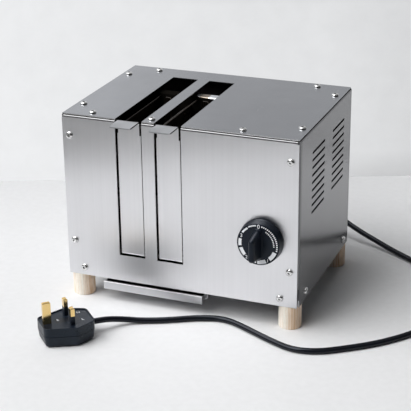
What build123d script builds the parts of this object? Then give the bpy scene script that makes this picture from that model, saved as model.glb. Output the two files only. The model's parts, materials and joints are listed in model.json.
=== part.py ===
from build123d import *
import math
import os

# A drop-side toaster: a folded sheet-steel body on four dowel feet. Two narrow doors in the
# front are hinged at their lower ends, and each carries a cradle that swings a slice of toast
# out through its slot. A clockwork timer switches the three elements, and a crumb tray slides
# in runners below the base. X runs to the right, Y to the back and Z up, in millimetres.
# The origin lies on the table, below the middle of the body with its knob and screw heads.

# Body: folded panels and the flat plate on top
BODY_WIDTH = 250.0
BODY_DEPTH = 179.0
BODY_HEIGHT = 174.5  # lower edges of the panels to the face of the top plate
SHEET = 1.0
BEND = 2.5  # outside radius of a panel's folds
FLANGE = 16.0
PANEL_INSET = 1.2  # front and rear panels end this far inside the side panels' faces
PLATE_INSET = 1.4
BASE_FLANGE = 18.0
BASE_BEND = 1.5
SEAM_GAP = 1.0
CORNER_NOTCH = 4.0

# Dowel feet
FOOT_HEIGHT = 25.0
FOOT_DIAMETER = 23.0
FOOT_CHAMFER = 0.8
FOOT_SCREW_LENGTH = 17.0

# Louvre slots in each side panel
LOUVRE_ROWS = 9
LOUVRE_PITCH = 7.8
LOUVRE_LENGTH = 42.0
LOUVRE_HEIGHT = 2.6
LOUVRE_DROP = 25.9  # face of the top plate to the top row
LOUVRE_COLUMNS = (-28.8, 39.8)  # centres, from the middle of the body's depth

# Toast slots and chambers
SLOT_PAIR_X = -30.8
SLOT_PITCH = 41.6
SLOT_WIDTH = 28.4
SLOT_END = 29.5  # rear end of the slots to the back of the body
SILL_HEIGHT = 28.3  # above the panel's lower edge
CHAMBER_LENGTH = 103.3  # between the two frame plates
WINDOW_MARGIN = 2.7  # slot's side to the side of the frame plate's window
WINDOW_DROP = 3.0  # underside of the cradle's floor to the window's sill
FRAME_DROP = 5.7  # face of the top plate to the top of the frame plates
FRAME_MARGIN = 12.6
FRAME_FOOT = 12.0
FRAME_LIP = 9.4

# Doors, cradles and their hinge
DOOR_GAUGE = 1.2
DOOR_GAP = 1.7  # beside each edge of a door in its slot
DOOR_RECESS = 2.0
NECK_STEP = 0.9
NECK_LENGTH = 14.1
TAB_STEP = 1.2
TAB_REACH = 19.9
TAB_CORNER = 2.5
PIN_RADIUS = 1.5
PIN_HEAD_EDGE = 0.9
PIN_HEAD = 1.0
CURL_ANGLE = 285.0
LUG_WALL = 1.45
CRADLE_GAUGE = 1.0
CRADLE_GAP = 2.0  # beside each edge of a cradle in its window
CRADLE_BEND = 2.5
CRADLE_LEG = 30.0
CRADLE_RISE = 6.7  # hinge axis to the underside of the cradle's floor
CRADLE_REACH = 100.5  # front face to the upright
UPRIGHT_WIDTH = 9.0
UPRIGHT_DROP = 6.5  # face of the top plate to the upright's tip
CRUMB_HOLES = 5
CRUMB_HOLE_LENGTH = 12.0
CRUMB_HOLE_WIDTH = 6.0
REST_WIDTH = 12.0
REST_LENGTH = 16.0

# Elements: mica boards wound with ribbon, and the wires that keep the toast off them
BOARD_GAUGE = 1.0
BOARD_HEIGHT = 116.0
BOARD_FLOOR = 44.0  # base plate's underside to the board's lower edge
BOARD_END_GAP = 5.0
BOARD_TAB = 12.0
BOARD_TAB_INSET = 2.0
BOARD_TAIL = 11.0
RIBBON_WIDTH = 2.4
RIBBON_GAUGE = 0.4
RIBBON_TURNS = 11
RIBBON_MARGIN = 18.5
WIRE_RADIUS = 0.8
WIRE_MARGIN = 1.4  # window's side to the middle of a guard wire
WIRE_ROWS = 4
WIRE_TOP_DROP = 3.6
WIRE_PITCH = 29.0
TERMINAL_RADIUS = 3.0
TERMINAL_SHANK = 1.5
TERMINAL_HEAD = 2.2
LINK_RADIUS = 1.0

# Crumb tray and its runners
TRAY_WIDTH = 109.4
TRAY_LENGTH = 114.0
TRAY_GAUGE = 1.0
TRAY_LIP_DROP = 3.6  # panel's lower edge to the top of the tray's lip
TRAY_LIP_HEIGHT = 9.0
TRAY_WALL_DROP = 4.8  # panel's lower edge to the top of the tray's walls
TRAY_BEND = 2.0
RUNNER_GAUGE = 1.0
RUNNER_DROP = 12.35  # panel's lower edge to the underside of the runners
RUNNER_LENGTH = 116.0
RUNNER_SETBACK = 13.2
RUNNER_LEDGE = 6.0
RUNNER_FOOT = 9.0
CRUMB_OPENING_WIDTH = 94.0
CRUMB_OPENING_START = 20.0
CRUMB_OPENING_LENGTH = 84.0

# Timer and knob
KNOB_X = 87.4
KNOB_RISE = 68.0  # above the panels' lower edges
KNOB_GAP = 1.0
SKIRT_RADIUS = 22.8
SKIRT_FACE_RADIUS = 21.7
SKIRT_DEPTH = 10.5
SKIRT_SHOULDER = 1.2
SKIRT_WALL = 2.2
GRIP_LENGTH = 32.0
GRIP_WIDTH = 7.6
GRIP_HEIGHT = 21.0
GRIP_TIP_LENGTH = 22.5
GRIP_TIP_WIDTH = 5.8
GRIP_TIP_RISE = 0.5  # middle of the grip's tip above the knob's axis
GRIP_ROUND = 1.3
HUB_RADIUS = 6.5
SHAFT_RADIUS = 3.0
SHAFT_FLAT = 2.2
SHAFT_HOLE = 4.5  # radius, through the panel and the timer's plate
SHAFT_IN_KNOB = 13.0
SHAFT_IN_TIMER = 12.0
TIMER_SIZE = 44.0
TIMER_DEPTH = 32.0
TIMER_CORNER = 5.0
TIMER_PLATE_WIDTH = 42.0
TIMER_PLATE_HEIGHT = 48.0
TIMER_PLATE_GAUGE = 1.5
TIMER_SCREW_SPACING = 28.0
TIMER_SCREW_LENGTH = 7.0
BLADE_WIDTH = 6.3
BLADE_LENGTH = 9.0
BLADE_GAUGE = 0.8
BLADE_SPACING = 12.0

# Screws, nuts and their holes
SCREW_RADIUS = 2.0
HEAD_RADIUS = 3.8
HEAD_HEIGHT = 2.2
HEAD_SHOULDER = 0.84  # share of the head's radius where its dome turns in
HEAD_SHOULDER_HEIGHT = 1.3
HEAD_CROWN = 0.5  # share of the head's radius that is flat on top
SOCKET_FLATS = 2.5
SOCKET_DEPTH = 1.3
SCREW_LENGTH = 5.3
NUT_FLATS = 7.0
NUT_HEIGHT = 3.0
HOLE_CLEARANCE = 0.25
NUT_CLEARANCE = 0.05
FRONT_SCREW_EDGE = 9.0
FRONT_SCREW_DROPS = (22.4, 136.5)  # face of the top plate to the upper and lower screws
BASE_SCREW_EDGE = 18.6
BASE_SCREW_RISE = 8.5
TOP_SCREW_SETBACK = 11.2
TOP_SIDE_SPACING = 110.4
REAR_TOP_SPACING = 180.0
SIDE_SCREW_SETBACKS = (24.9, 20.2)  # from the front face and from the back
FRAME_SCREW_EDGE = 7.0

# Terminal block, strain relief, cord and plug
BLOCK_SIZE = (34.0, 18.0, 14.0)
BLOCK_X = 72.0
BLOCK_INSET = 41.0  # from the back of the body to the block's middle
BLOCK_BORE = 2.4
BLOCK_WAYS = 3
BLOCK_WAY_PITCH = 10.0
LEAD_RADIUS = 1.2
CORD_DIAMETER = 6.0
RELIEF_X = 50.0
RELIEF_RISE = 19.0
RELIEF_COLLAR_RADIUS = 7.5
RELIEF_COLLAR = 3.0
RELIEF_NECK_RADIUS = 5.4
RELIEF_LENGTH = 17.5
RELIEF_TIP_RADIUS = 3.9
RELIEF_RINGS = 4
PLUG_PLACE = (-81.1, -162.25)
PLUG_TURN = 134.6
PLUG_SEAM = 12.0
PLUG_THICKNESS = 20.0
PLUG_WAIST = 23.4  # half widths of the outline, at the pins and at each end
PLUG_END = 14.0
PLUG_EARTH_SIDE = 29.0
PLUG_CORD_SIDE = 22.5
PLUG_CORNER = 6.0
PLUG_BACK_ROUND = 3.5
PLUG_DRAFT = 1.6  # the cover draws in this far from the seam to its back
PLUG_GROOVE = 0.5
PLUG_RIM = 1.3
PLUG_RIM_RISE = 1.0
PIN_PITCH = 22.23
LINE_PIN = (6.35, 4.0, 17.7)
EARTH_PIN = (4.0, 8.0, 22.73)
PIN_ROOT = 5.0
PIN_TIP_CHAMFER = 0.9
SLEEVE_LENGTH = 9.0
SLEEVE_WALL = 0.5
CARRIER_SIZE = (9.0, 24.0, 3.0)

# Fits
TURNING_FIT = 0.05
SLIDING_FIT = 0.3
DOOR_LANDING = 0.3
LOOSE_FIT = 0.1

# Places that follow from the sizes above
KNOB_REACH = KNOB_GAP + SKIRT_DEPTH + GRIP_HEIGHT
BODY_Y = (max(KNOB_REACH, TAB_REACH) - HEAD_HEIGHT) / 2
FRONT = BODY_Y - BODY_DEPTH / 2
BACK = FRONT + BODY_DEPTH
SIDE = BODY_WIDTH / 2
BASE = FOOT_HEIGHT
TOP = BASE + BODY_HEIGHT
SHELF = TOP - SHEET  # top of the flanges that carry the top plate
SILL = BASE + SILL_HEIGHT
DOOR_WIDTH = SLOT_WIDTH - 2 * DOOR_GAP
NECK_WIDTH = DOOR_WIDTH - 2 * NECK_STEP
TAB_WIDTH = DOOR_WIDTH - 2 * TAB_STEP
WINDOW_WIDTH = SLOT_WIDTH - 2 * WINDOW_MARGIN
CRADLE_WIDTH = WINDOW_WIDTH - 2 * CRADLE_GAP
WIRE_OFFSET = WINDOW_WIDTH / 2 + WIRE_MARGIN
LUG_RADIUS = PIN_RADIUS + TURNING_FIT + LUG_WALL
SLOT_CENTRES = {"left": SLOT_PAIR_X - SLOT_PITCH / 2, "right": SLOT_PAIR_X + SLOT_PITCH / 2}
CURL_RADIUS = PIN_RADIUS + TURNING_FIT + DOOR_GAUGE
HINGE_Y = FRONT + DOOR_RECESS + CURL_RADIUS
HINGE_Z = SILL + DOOR_LANDING + CURL_RADIUS
FRAME_FRONT = HINGE_Y + CURL_RADIUS + 2 * SLIDING_FIT
FRAME_BACK = FRAME_FRONT + CHAMBER_LENGTH
FRAME_TOP = TOP - FRAME_DROP
FRAME_BASE = BASE + SHEET
BOARD_CENTRES = [SLOT_PAIR_X + i * SLOT_PITCH for i in (-1, 0, 1)]
FRAME_LEFT = BOARD_CENTRES[0] - FRAME_MARGIN
FRAME_RIGHT = BOARD_CENTRES[-1] + FRAME_MARGIN
BOARD_BASE = BASE + BOARD_FLOOR
TAB_LEVELS = (BOARD_BASE + BOARD_TAB_INSET, BOARD_BASE + BOARD_HEIGHT - BOARD_TAB_INSET - BOARD_TAB)
TERMINAL_Y = FRAME_BACK + SHEET + BOARD_TAIL - TERMINAL_RADIUS - 1.5
CRADLE_FLOOR = HINGE_Z + CRADLE_RISE
UPRIGHT_Y = FRONT + CRADLE_REACH
UPRIGHT_TOP = TOP - UPRIGHT_DROP
RUNNER_FLOOR = BASE - RUNNER_DROP
RUNNER_WEB = TRAY_WIDTH / 2 + SLIDING_FIT
TRAY_BASE = RUNNER_FLOOR + RUNNER_GAUGE + SLIDING_FIT
KNOB_Z = BASE + KNOB_RISE
SKIRT_Y = FRONT - KNOB_GAP
TIMER_FRONT = FRONT + SHEET
RELIEF_Z = BASE + RELIEF_RISE
RELIEF_TIP = BACK + RELIEF_COLLAR + RELIEF_LENGTH

# The cord's route from the strain relief's tip, along the table and round to the plug
CORD_ROUTE = [
    (RELIEF_X, RELIEF_TIP, RELIEF_Z),
    (50, 142.15, RELIEF_Z),
    (57.3, 157.35, 41.2),
    (70.8, 167.35, 35.9),
    (86.7, 170.15, 28.6),
    (103, 165.65, 20.8),
    (125, 155.65, 14.2),
    (147, 147.15, 8.8),
    (168.5, 136.65, 4.8),
    (190.5, 124.55, 3),
    (215, 107.15, 3),
    (238, 80.15, 3),
    (253, 47.15, 3),
    (256, 11.15, 3),
    (246, -22.85, 3),
    (229, -50.35, 3),
    (205.5, -76.85, 3),
    (179, -97.35, 3),
    (157.5, -111.85, 3),
    (134, -116.85, 3),
    (107.5, -106.35, 3),
    (79, -91.35, 3),
    (51, -78.35, 3),
    (25, -84.85, 3),
    (-2, -100.35, 3),
    (-25, -110.35, 3),
    (-40.5, -117.35, 5),
    (-50.2, -128.05, 9),
    (-57.247, -138.728, PLUG_SEAM),
    (-65.079, -146.452, PLUG_SEAM),
]


def block(x0, x1, y0, y1, z0, z1):
    """A cuboid between two opposite corners."""
    centre = Pos((x0 + x1) / 2, (y0 + y1) / 2, (z0 + z1) / 2)
    return centre * Box(x1 - x0, y1 - y0, z1 - z0)


def bar(start, end, radius):
    """A round bar between two points."""
    way = Vector(*end) - Vector(*start)
    return extrude(Plane(Vector(*start), z_dir=way) * Circle(radius), way.length)


def folded(points, gauge, bend):
    """The section of a sheet folded along points, which run up the middle of its gauge."""
    line = FilletPolyline(*points, radius=bend - gauge / 2)
    return trace(line, gauge)


def along_x(section, x0, x1):
    """A section drawn in (y, z), extruded from x0 to x1."""
    return extrude(Plane.YZ.offset(x0) * section, x1 - x0)


def along_y(section, y0, y1):
    """A section drawn in (x, z), extruded from y0 to y1."""
    return extrude(Plane.XZ.offset(-y1) * section, y1 - y0)


def tube(points, radius, radii):
    """A round tube along straight runs joined by arcs of the given radii."""
    path = FilletPolyline(*points, radius=radii) if len(points) > 2 else Line(*points)
    start = Plane(path @ 0, z_dir=path % 0)
    return sweep(start * Circle(radius), path=path)


def corner_radii(points):
    """For each inner point, the largest radius that leaves a tenth of the shorter run straight."""
    spots = [Vector(*p) for p in points]
    radii = []
    for before, here, after in zip(spots, spots[1:], spots[2:]):
        run_in = here - before
        run_out = after - here
        half_turn = math.radians(run_in.get_angle(run_out)) / 2
        radii.append(0.45 * min(run_in.length, run_out.length) / math.tan(half_turn))
    return radii


def both_sides(solid):
    """A solid and its mirror image across the body's middle."""
    return [solid, mirror(solid, Plane.YZ)]


# ---- Fasteners -------------------------------------------------------------------------


def button_screw(length=SCREW_LENGTH):
    """A button-head socket screw with its head standing on z = 0."""
    outline = [
        (0, -length),
        (SCREW_RADIUS, -length),
        (SCREW_RADIUS, 0),
        (HEAD_RADIUS, 0),
        (HEAD_SHOULDER * HEAD_RADIUS, HEAD_SHOULDER_HEIGHT),
        (HEAD_CROWN * HEAD_RADIUS, HEAD_HEIGHT),
        (0, HEAD_HEIGHT),
    ]
    screw = revolve(Plane.XZ * make_face(Polyline(*outline, close=True)), Axis.Z)
    socket = RegularPolygon(SOCKET_FLATS / 2, 6, major_radius=False)
    return screw - Pos(0, 0, HEAD_HEIGHT - SOCKET_DEPTH) * extrude(socket, SOCKET_DEPTH)


def nut():
    """A hexagon nut hanging below z = 0."""
    outline = RegularPolygon(NUT_FLATS / 2, 6, major_radius=False)
    return extrude(outline - Circle(SCREW_RADIUS + NUT_CLEARANCE), -NUT_HEIGHT)


def top_screw_places():
    """Where the top plate's screws stand, row by row."""
    half = SLOT_WIDTH / 2
    edge = SIDE - PANEL_INSET
    tongues = [
        (-edge, SLOT_CENTRES["left"] - half),
        (SLOT_CENTRES["left"] + half, SLOT_CENTRES["right"] - half),
        (SLOT_CENTRES["right"] + half, edge),
    ]
    places = [((a + b) / 2, FRONT + TOP_SCREW_SETBACK) for a, b in tongues]
    for side in (-1, 1):
        x = side * (SIDE - FRONT_SCREW_EDGE)
        places += [(x, BODY_Y - TOP_SIDE_SPACING / 2), (x, BODY_Y + TOP_SIDE_SPACING / 2)]
        places.append((side * REAR_TOP_SPACING / 2, BACK - TOP_SCREW_SETBACK))
    return [Pos(x, y, TOP) for x, y in places]


def end_screw_places(y, turn):
    """Where the screws of the front or rear panel stand, heads facing outwards."""
    spots = []
    for side in (-1, 1):
        spots += [(side * (SIDE - FRONT_SCREW_EDGE), TOP - drop) for drop in FRONT_SCREW_DROPS]
        spots.append((side * (SIDE - BASE_SCREW_EDGE), BASE + BASE_SCREW_RISE))
    return [Pos(x, y, z) * Rot(turn, 0, 0) for x, z in spots]


def front_screw_places():
    """Where the front panel's screws stand."""
    return end_screw_places(FRONT, 90)


def rear_screw_places():
    """Where the rear panel's screws stand."""
    return end_screw_places(BACK, -90)


def side_screw_places():
    """Where the screws through the side panels into the base stand."""
    places = []
    for side in (-1, 1):
        for y in (FRONT + SIDE_SCREW_SETBACKS[0], BACK - SIDE_SCREW_SETBACKS[1]):
            spot = Pos(side * SIDE, y, BASE + BASE_SCREW_RISE)
            places.append(spot * Rot(0, 90 * side, 0))
    return places


def frame_screw_places():
    """Where the screws that hold the frame plates to the base stand, heads upwards."""
    z = FRAME_BASE + SHEET
    rows = (FRAME_FRONT + SHEET + FRAME_FOOT / 2, FRAME_BACK + SHEET + FRAME_FOOT / 2)
    columns = (FRAME_LEFT + FRAME_SCREW_EDGE, FRAME_RIGHT - FRAME_SCREW_EDGE)
    return [Pos(x, y, z) for y in rows for x in columns]


def foot_places():
    """The middles of the four feet, named by corner."""
    inset = FOOT_DIAMETER / 2
    places = {}
    for end, y in (("front", FRONT + inset), ("rear", BACK - inset)):
        places[f"{end}_left"] = (-SIDE + inset, y)
        places[f"{end}_right"] = (SIDE - inset, y)
    return places


def screw_holes(places, depth=4.0):
    """Clearance holes for screws at the given places."""
    return [place * Cylinder(SCREW_RADIUS + HOLE_CLEARANCE, 2 * depth) for place in places]


def nuts_under(places, grip):
    """Nuts on the screws at the given places, below a stack of the given thickness."""
    return [place * Pos(0, 0, -grip) * nut() for place in places]


# ---- Body panels -----------------------------------------------------------------------


def end_blank():
    """The front panel's sheet with its top flange, before any cutting."""
    middle = FRONT + SHEET / 2
    shelf = SHELF - SHEET / 2
    section = folded([(middle, BASE), (middle, shelf), (FRONT + FLANGE, shelf)], SHEET, BEND)
    edge = SIDE - PANEL_INSET
    blank = along_x(section, -edge, edge)
    relief = SIDE - BEND - SLIDING_FIT
    corner = block(relief, edge + 1, FRONT - 1, FRONT + FLANGE + 1, SHELF - BEND - SHEET, SHELF + 1)
    return blank - both_sides(corner)


def front_panel():
    """The front panel, open at both toast slots, with the knob's shaft hole."""
    panel = end_blank()
    for x in SLOT_CENTRES.values():
        half = SLOT_WIDTH / 2
        panel -= block(x - half, x + half, FRONT - 1, FRONT + FLANGE + 1, SILL, SHELF + 1)
    panel -= screw_holes(front_screw_places() + top_screw_places())
    panel -= screw_holes(timer_screw_places())
    shaft_hole = Pos(KNOB_X, KNOB_Z) * Circle(SHAFT_HOLE)
    return panel - along_y(shaft_hole, FRONT - 1, FRONT + SHEET + 1)


def rear_panel():
    """The rear panel, with the strain relief's hole."""
    panel = mirror(end_blank(), Plane.XZ.offset(-BODY_Y))
    panel -= screw_holes(rear_screw_places() + top_screw_places())
    hole = Circle(RELIEF_NECK_RADIUS + LOOSE_FIT)
    return panel - along_y(Pos(RELIEF_X, RELIEF_Z) * hole, BACK - SHEET - 1, BACK + 1)


def side_panel():
    """The right side panel: louvred, with flanges at the front, the back and the top."""
    outer = block(SIDE - FLANGE, SIDE, FRONT + SHEET, BACK - SHEET, BASE, SHELF)
    inner_front, inner_back = FRONT + 2 * SHEET, BACK - 2 * SHEET
    inner = block(SIDE - FLANGE - 1, SIDE - SHEET, inner_front, inner_back, BASE - 1, SHELF - SHEET)
    panel = fillet(side_folds(outer), BEND) - fillet(side_folds(inner), BEND - SHEET)
    notch_top = BASE + BASE_FLANGE + SEAM_GAP
    for low, high in ((FRONT, FRONT + SHEET + BEND), (BACK - SHEET - BEND, BACK)):
        panel -= block(SIDE - FLANGE - 1, SIDE + 1, low, high, BASE - 1, notch_top)
    reach = FLANGE + SEAM_GAP
    for low, high in ((FRONT, FRONT + reach), (BACK - reach, BACK)):
        panel -= block(SIDE - FLANGE - 1, SIDE - BEND, low, high, SHELF - BEND - SHEET, SHELF + 1)
    panel -= louvre_slots()
    places = front_screw_places() + rear_screw_places() + side_screw_places() + top_screw_places()
    return panel - screw_holes(places)


def side_folds(box):
    """The outer edges of a box that become a side panel's folds."""
    outer_edges = box.edges().group_by(Axis.X)[-1]
    return outer_edges.filter_by(Axis.Z) + outer_edges.filter_by(Axis.Y).sort_by(Axis.Z)[-1:]


def louvre_slots():
    """Cutters for the two columns of louvre slots in the right side panel."""
    slot = SlotOverall(LOUVRE_LENGTH, LOUVRE_HEIGHT)
    cutters = []
    for column in LOUVRE_COLUMNS:
        for row in range(LOUVRE_ROWS):
            z = TOP - LOUVRE_DROP - row * LOUVRE_PITCH
            cutters.append(along_x(Pos(BODY_Y + column, z) * slot, SIDE - SHEET - 1, SIDE + 1))
    return cutters


def top_plate():
    """The flat plate on top, with both slots open to its front edge."""
    half_width = SIDE - PLATE_INSET
    plate = block(-half_width, half_width, FRONT + PLATE_INSET, BACK - PLATE_INSET, SHELF, TOP)
    for x in SLOT_CENTRES.values():
        half = SLOT_WIDTH / 2
        plate -= block(x - half, x + half, FRONT - 1, BACK - SLOT_END, SHELF - 1, TOP + 1)
    return plate - screw_holes(top_screw_places())


def base_plate():
    """The base: a shallow folded tray, open above the crumb tray."""
    wide = SIDE - SHEET
    outer = block(-wide, wide, FRONT + SHEET, BACK - SHEET, BASE, BASE + BASE_FLANGE)
    wide -= SHEET
    inner = block(-wide, wide, FRONT + 2 * SHEET, BACK - 2 * SHEET, FRAME_BASE, TOP)
    plate = fillet(outer.edges().group_by(Axis.Z)[0], BASE_BEND)
    plate -= fillet(inner.edges().group_by(Axis.Z)[0], BASE_BEND - SHEET)
    for x in (-SIDE, SIDE):
        for y in (FRONT, BACK):
            plate -= Pos(x, y, BASE) * Box(2 * CORNER_NOTCH, 2 * CORNER_NOTCH, 3 * BASE_FLANGE)
    opening = RectangleRounded(CRUMB_OPENING_WIDTH, CRUMB_OPENING_LENGTH, 3)
    middle_y = FRONT + CRUMB_OPENING_START + CRUMB_OPENING_LENGTH / 2
    plate -= Pos(SLOT_PAIR_X, middle_y, BASE - 1) * extrude(opening, SHEET + 2)
    collar = RELIEF_COLLAR_RADIUS + 1.5
    plate -= block(RELIEF_X - collar, RELIEF_X + collar, BACK - 5, BACK, RELIEF_Z - collar, TOP)
    for x, y in foot_places().values():
        plate -= Pos(x, y, BASE) * Cylinder(SCREW_RADIUS + HOLE_CLEARANCE, 6)
    places = front_screw_places() + rear_screw_places() + side_screw_places() + frame_screw_places()
    return plate - screw_holes(places)


def foot(x, y):
    """A dowel foot with a pilot hole for its screw."""
    dowel = extrude(Circle(FOOT_DIAMETER / 2), FOOT_HEIGHT)
    dowel = chamfer(dowel.edges().group_by(Axis.Z)[0], FOOT_CHAMFER)
    depth = FOOT_SCREW_LENGTH - SHEET + SLIDING_FIT
    pilot = Pos(0, 0, FOOT_HEIGHT) * extrude(Circle(SCREW_RADIUS + LOOSE_FIT), -depth)
    return Pos(x, y, 0) * (dowel - pilot)


# ---- Element frame ---------------------------------------------------------------------


def window_cutters(y):
    """Cutters for the two toast windows of a frame plate."""
    half = WINDOW_WIDTH / 2
    low = CRADLE_FLOOR - WINDOW_DROP
    centres = SLOT_CENTRES.values()
    return [block(x - half, x + half, y - 1, y + SHEET + 1, low, TOP) for x in centres]


def seat_cutters(y):
    """Cutters for the slits and holes in a frame plate that hold the boards and wires."""
    cutters = []
    half = BOARD_GAUGE / 2 + LOOSE_FIT
    for x in BOARD_CENTRES:
        for z in TAB_LEVELS:
            high = z + BOARD_TAB + LOOSE_FIT
            cutters.append(block(x - half, x + half, y - 1, y + SHEET + 1, z, high))
    for x, z in wire_places():
        cutters.append(bar((x, y - 1, z), (x, y + SHEET + 1, z), WIRE_RADIUS + LOOSE_FIT))
    return cutters


def front_frame_plate():
    """The plate behind the doors: windows, seats for boards and wires, and the hinge lugs."""
    middle = FRAME_FRONT + SHEET / 2
    floor = FRAME_BASE + SHEET / 2
    foot_end = FRAME_FRONT + SHEET + FRAME_FOOT
    section = folded([(middle, FRAME_TOP), (middle, floor), (foot_end, floor)], SHEET, BASE_BEND)
    plate = along_x(section, FRAME_LEFT, FRAME_RIGHT)
    plate -= window_cutters(FRAME_FRONT) + seat_cutters(FRAME_FRONT)
    for x in SLOT_CENTRES.values():
        for side in (-1, 1):
            plate += hinge_lug(x + side * (DOOR_WIDTH / 2 + SLIDING_FIT + SHEET / 2))
    return plate - screw_holes(frame_screw_places())


def hinge_lug(x):
    """A lug bent forward from the frame plate, round-nosed about the hinge pin."""
    nose = Pos(HINGE_Y, HINGE_Z) * Circle(LUG_RADIUS)
    reach = FRAME_FRONT - HINGE_Y
    arm = Pos((HINGE_Y + FRAME_FRONT) / 2, HINGE_Z) * Rectangle(reach, 2 * LUG_RADIUS)
    hole = Pos(HINGE_Y, HINGE_Z) * Circle(PIN_RADIUS + TURNING_FIT)
    return along_x(nose + arm - hole, x - SHEET / 2, x + SHEET / 2)


def rear_frame_plate():
    """The plate behind the chambers, with the ledges that the cradles rest on."""
    middle = FRAME_BACK + SHEET / 2
    floor = FRAME_BASE + SHEET / 2
    lip = FRAME_TOP - SHEET / 2
    foot_end = FRAME_BACK + SHEET + FRAME_FOOT
    points = [(foot_end, floor), (middle, floor), (middle, lip), (FRAME_BACK + FRAME_LIP, lip)]
    plate = along_x(folded(points, SHEET, BASE_BEND), FRAME_LEFT, FRAME_RIGHT)
    plate -= seat_cutters(FRAME_BACK)
    rest_top = CRADLE_FLOOR - SLIDING_FIT
    for x in SLOT_CENTRES.values():
        half = REST_WIDTH / 2
        start = FRAME_BACK - REST_LENGTH
        plate += block(x - half, x + half, start, FRAME_BACK, rest_top - SHEET, rest_top)
    return plate - screw_holes(frame_screw_places())


def heat_shield(x, outward):
    """A folded sheet that closes one side of the element frame."""
    edge = x - outward * SHEET / 2
    floor = FRAME_BASE + SHEET / 2
    points = [
        (x + outward * FRAME_LIP, FRAME_TOP - SHEET / 2),
        (edge, FRAME_TOP - SHEET / 2),
        (edge, floor),
        (x + outward * FRAME_LIP, floor),
    ]
    start = FRAME_FRONT + SHEET
    shield = along_y(folded(points, SHEET, BASE_BEND), start, FRAME_BACK)
    foot_space = FRAME_FOOT + BASE_BEND
    reach = FRAME_LIP + 2
    low, high = min(x - reach, x + reach), max(x - reach, x + reach)
    bend = FRAME_BASE + BASE_BEND
    return shield - block(low, high, start - 1, start + foot_space, FRAME_BASE - 1, bend)


def element_board(x):
    """A mica board with four seating tabs, the rear pair long enough for terminals."""
    front = FRAME_FRONT + SHEET + BOARD_END_GAP
    back = FRAME_BACK - BOARD_END_GAP
    tail = FRAME_BACK + SHEET + BOARD_TAIL
    mid_z = BOARD_BASE + BOARD_HEIGHT / 2
    outline = Pos((front + back) / 2, mid_z) * Rectangle(back - front, BOARD_HEIGHT)
    for z in TAB_LEVELS:
        tab = Rectangle(tail - FRAME_FRONT, BOARD_TAB)
        outline += Pos((FRAME_FRONT + tail) / 2, z + BOARD_TAB / 2) * tab
    for z in terminal_levels():
        outline -= Pos(TERMINAL_Y, z) * Circle(TERMINAL_SHANK + LOOSE_FIT)
    return along_x(outline, x - BOARD_GAUGE / 2, x + BOARD_GAUGE / 2)


def element_ribbon(x):
    """Flat ribbon wound round a board: level on one face and climbing a pitch on the other."""
    pitch = (BOARD_HEIGHT - 2 * RIBBON_MARGIN) / (RIBBON_TURNS - 1)
    half = BOARD_GAUGE / 2 + RIBBON_GAUGE / 2
    front = FRAME_FRONT + SHEET + BOARD_END_GAP - RIBBON_GAUGE / 2
    back = FRAME_BACK - BOARD_END_GAP + RIBBON_GAUGE / 2
    turns = []
    for turn in range(RIBBON_TURNS):
        z = BOARD_BASE + RIBBON_MARGIN + turn * pitch
        turns.append(ribbon_turn(x, half, front, back, z))
    return turns


def ribbon_turn(x, half, front, back, z):
    """One closed turn of the ribbon at height z."""
    outer = Rectangle(2 * half + RIBBON_GAUGE, back - front + RIBBON_GAUGE)
    inner = Rectangle(2 * half - RIBBON_GAUGE, back - front - RIBBON_GAUGE)
    ring = extrude(outer - inner, RIBBON_WIDTH)
    return Pos(x, (front + back) / 2, z - RIBBON_WIDTH / 2) * ring


def wire_places():
    """Where the guard wires run, as (x, z), four rows on each side of each chamber."""
    top = FRAME_TOP - WIRE_TOP_DROP
    rows = [top - i * WIRE_PITCH for i in range(WIRE_ROWS)]
    columns = [x + side * WIRE_OFFSET for x in SLOT_CENTRES.values() for side in (-1, 1)]
    return [(x, z) for x in columns for z in rows]


def guard_wires(centre):
    """The guard wires of the chamber at the given centre."""
    wires = []
    for x, z in wire_places():
        if abs(x - centre) < SLOT_PITCH / 2:
            wires.append(bar((x, FRAME_FRONT, z), (x, FRAME_BACK + SHEET, z), WIRE_RADIUS))
    return wires


def terminal_levels():
    """Heights of the element terminals, one on each rear tab."""
    return [z + BOARD_TAB / 2 for z in TAB_LEVELS]


def element_terminals():
    """Riveted terminals through the boards' rear tabs."""
    reach = BOARD_GAUGE / 2 + TERMINAL_HEAD
    terminals = []
    for x in BOARD_CENTRES:
        for z in terminal_levels():
            shank = bar((x - reach, TERMINAL_Y, z), (x + reach, TERMINAL_Y, z), TERMINAL_SHANK)
            for side in (-1, 1):
                face = x + side * BOARD_GAUGE / 2
                end = (x + side * reach, TERMINAL_Y, z)
                shank += bar((face, TERMINAL_Y, z), end, TERMINAL_RADIUS)
            terminals.append(shank)
    return terminals


def element_links():
    """Rods that join the elements in series, low between one pair and high between the other."""
    reach = BOARD_GAUGE / 2 + TERMINAL_HEAD
    rods = []
    for (a, b), z in zip(zip(BOARD_CENTRES, BOARD_CENTRES[1:]), terminal_levels()):
        rods.append(bar((a + reach, TERMINAL_Y, z), (b - reach, TERMINAL_Y, z), LINK_RADIUS))
    return rods


# ---- Doors, cradles and hinge ----------------------------------------------------------


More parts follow.
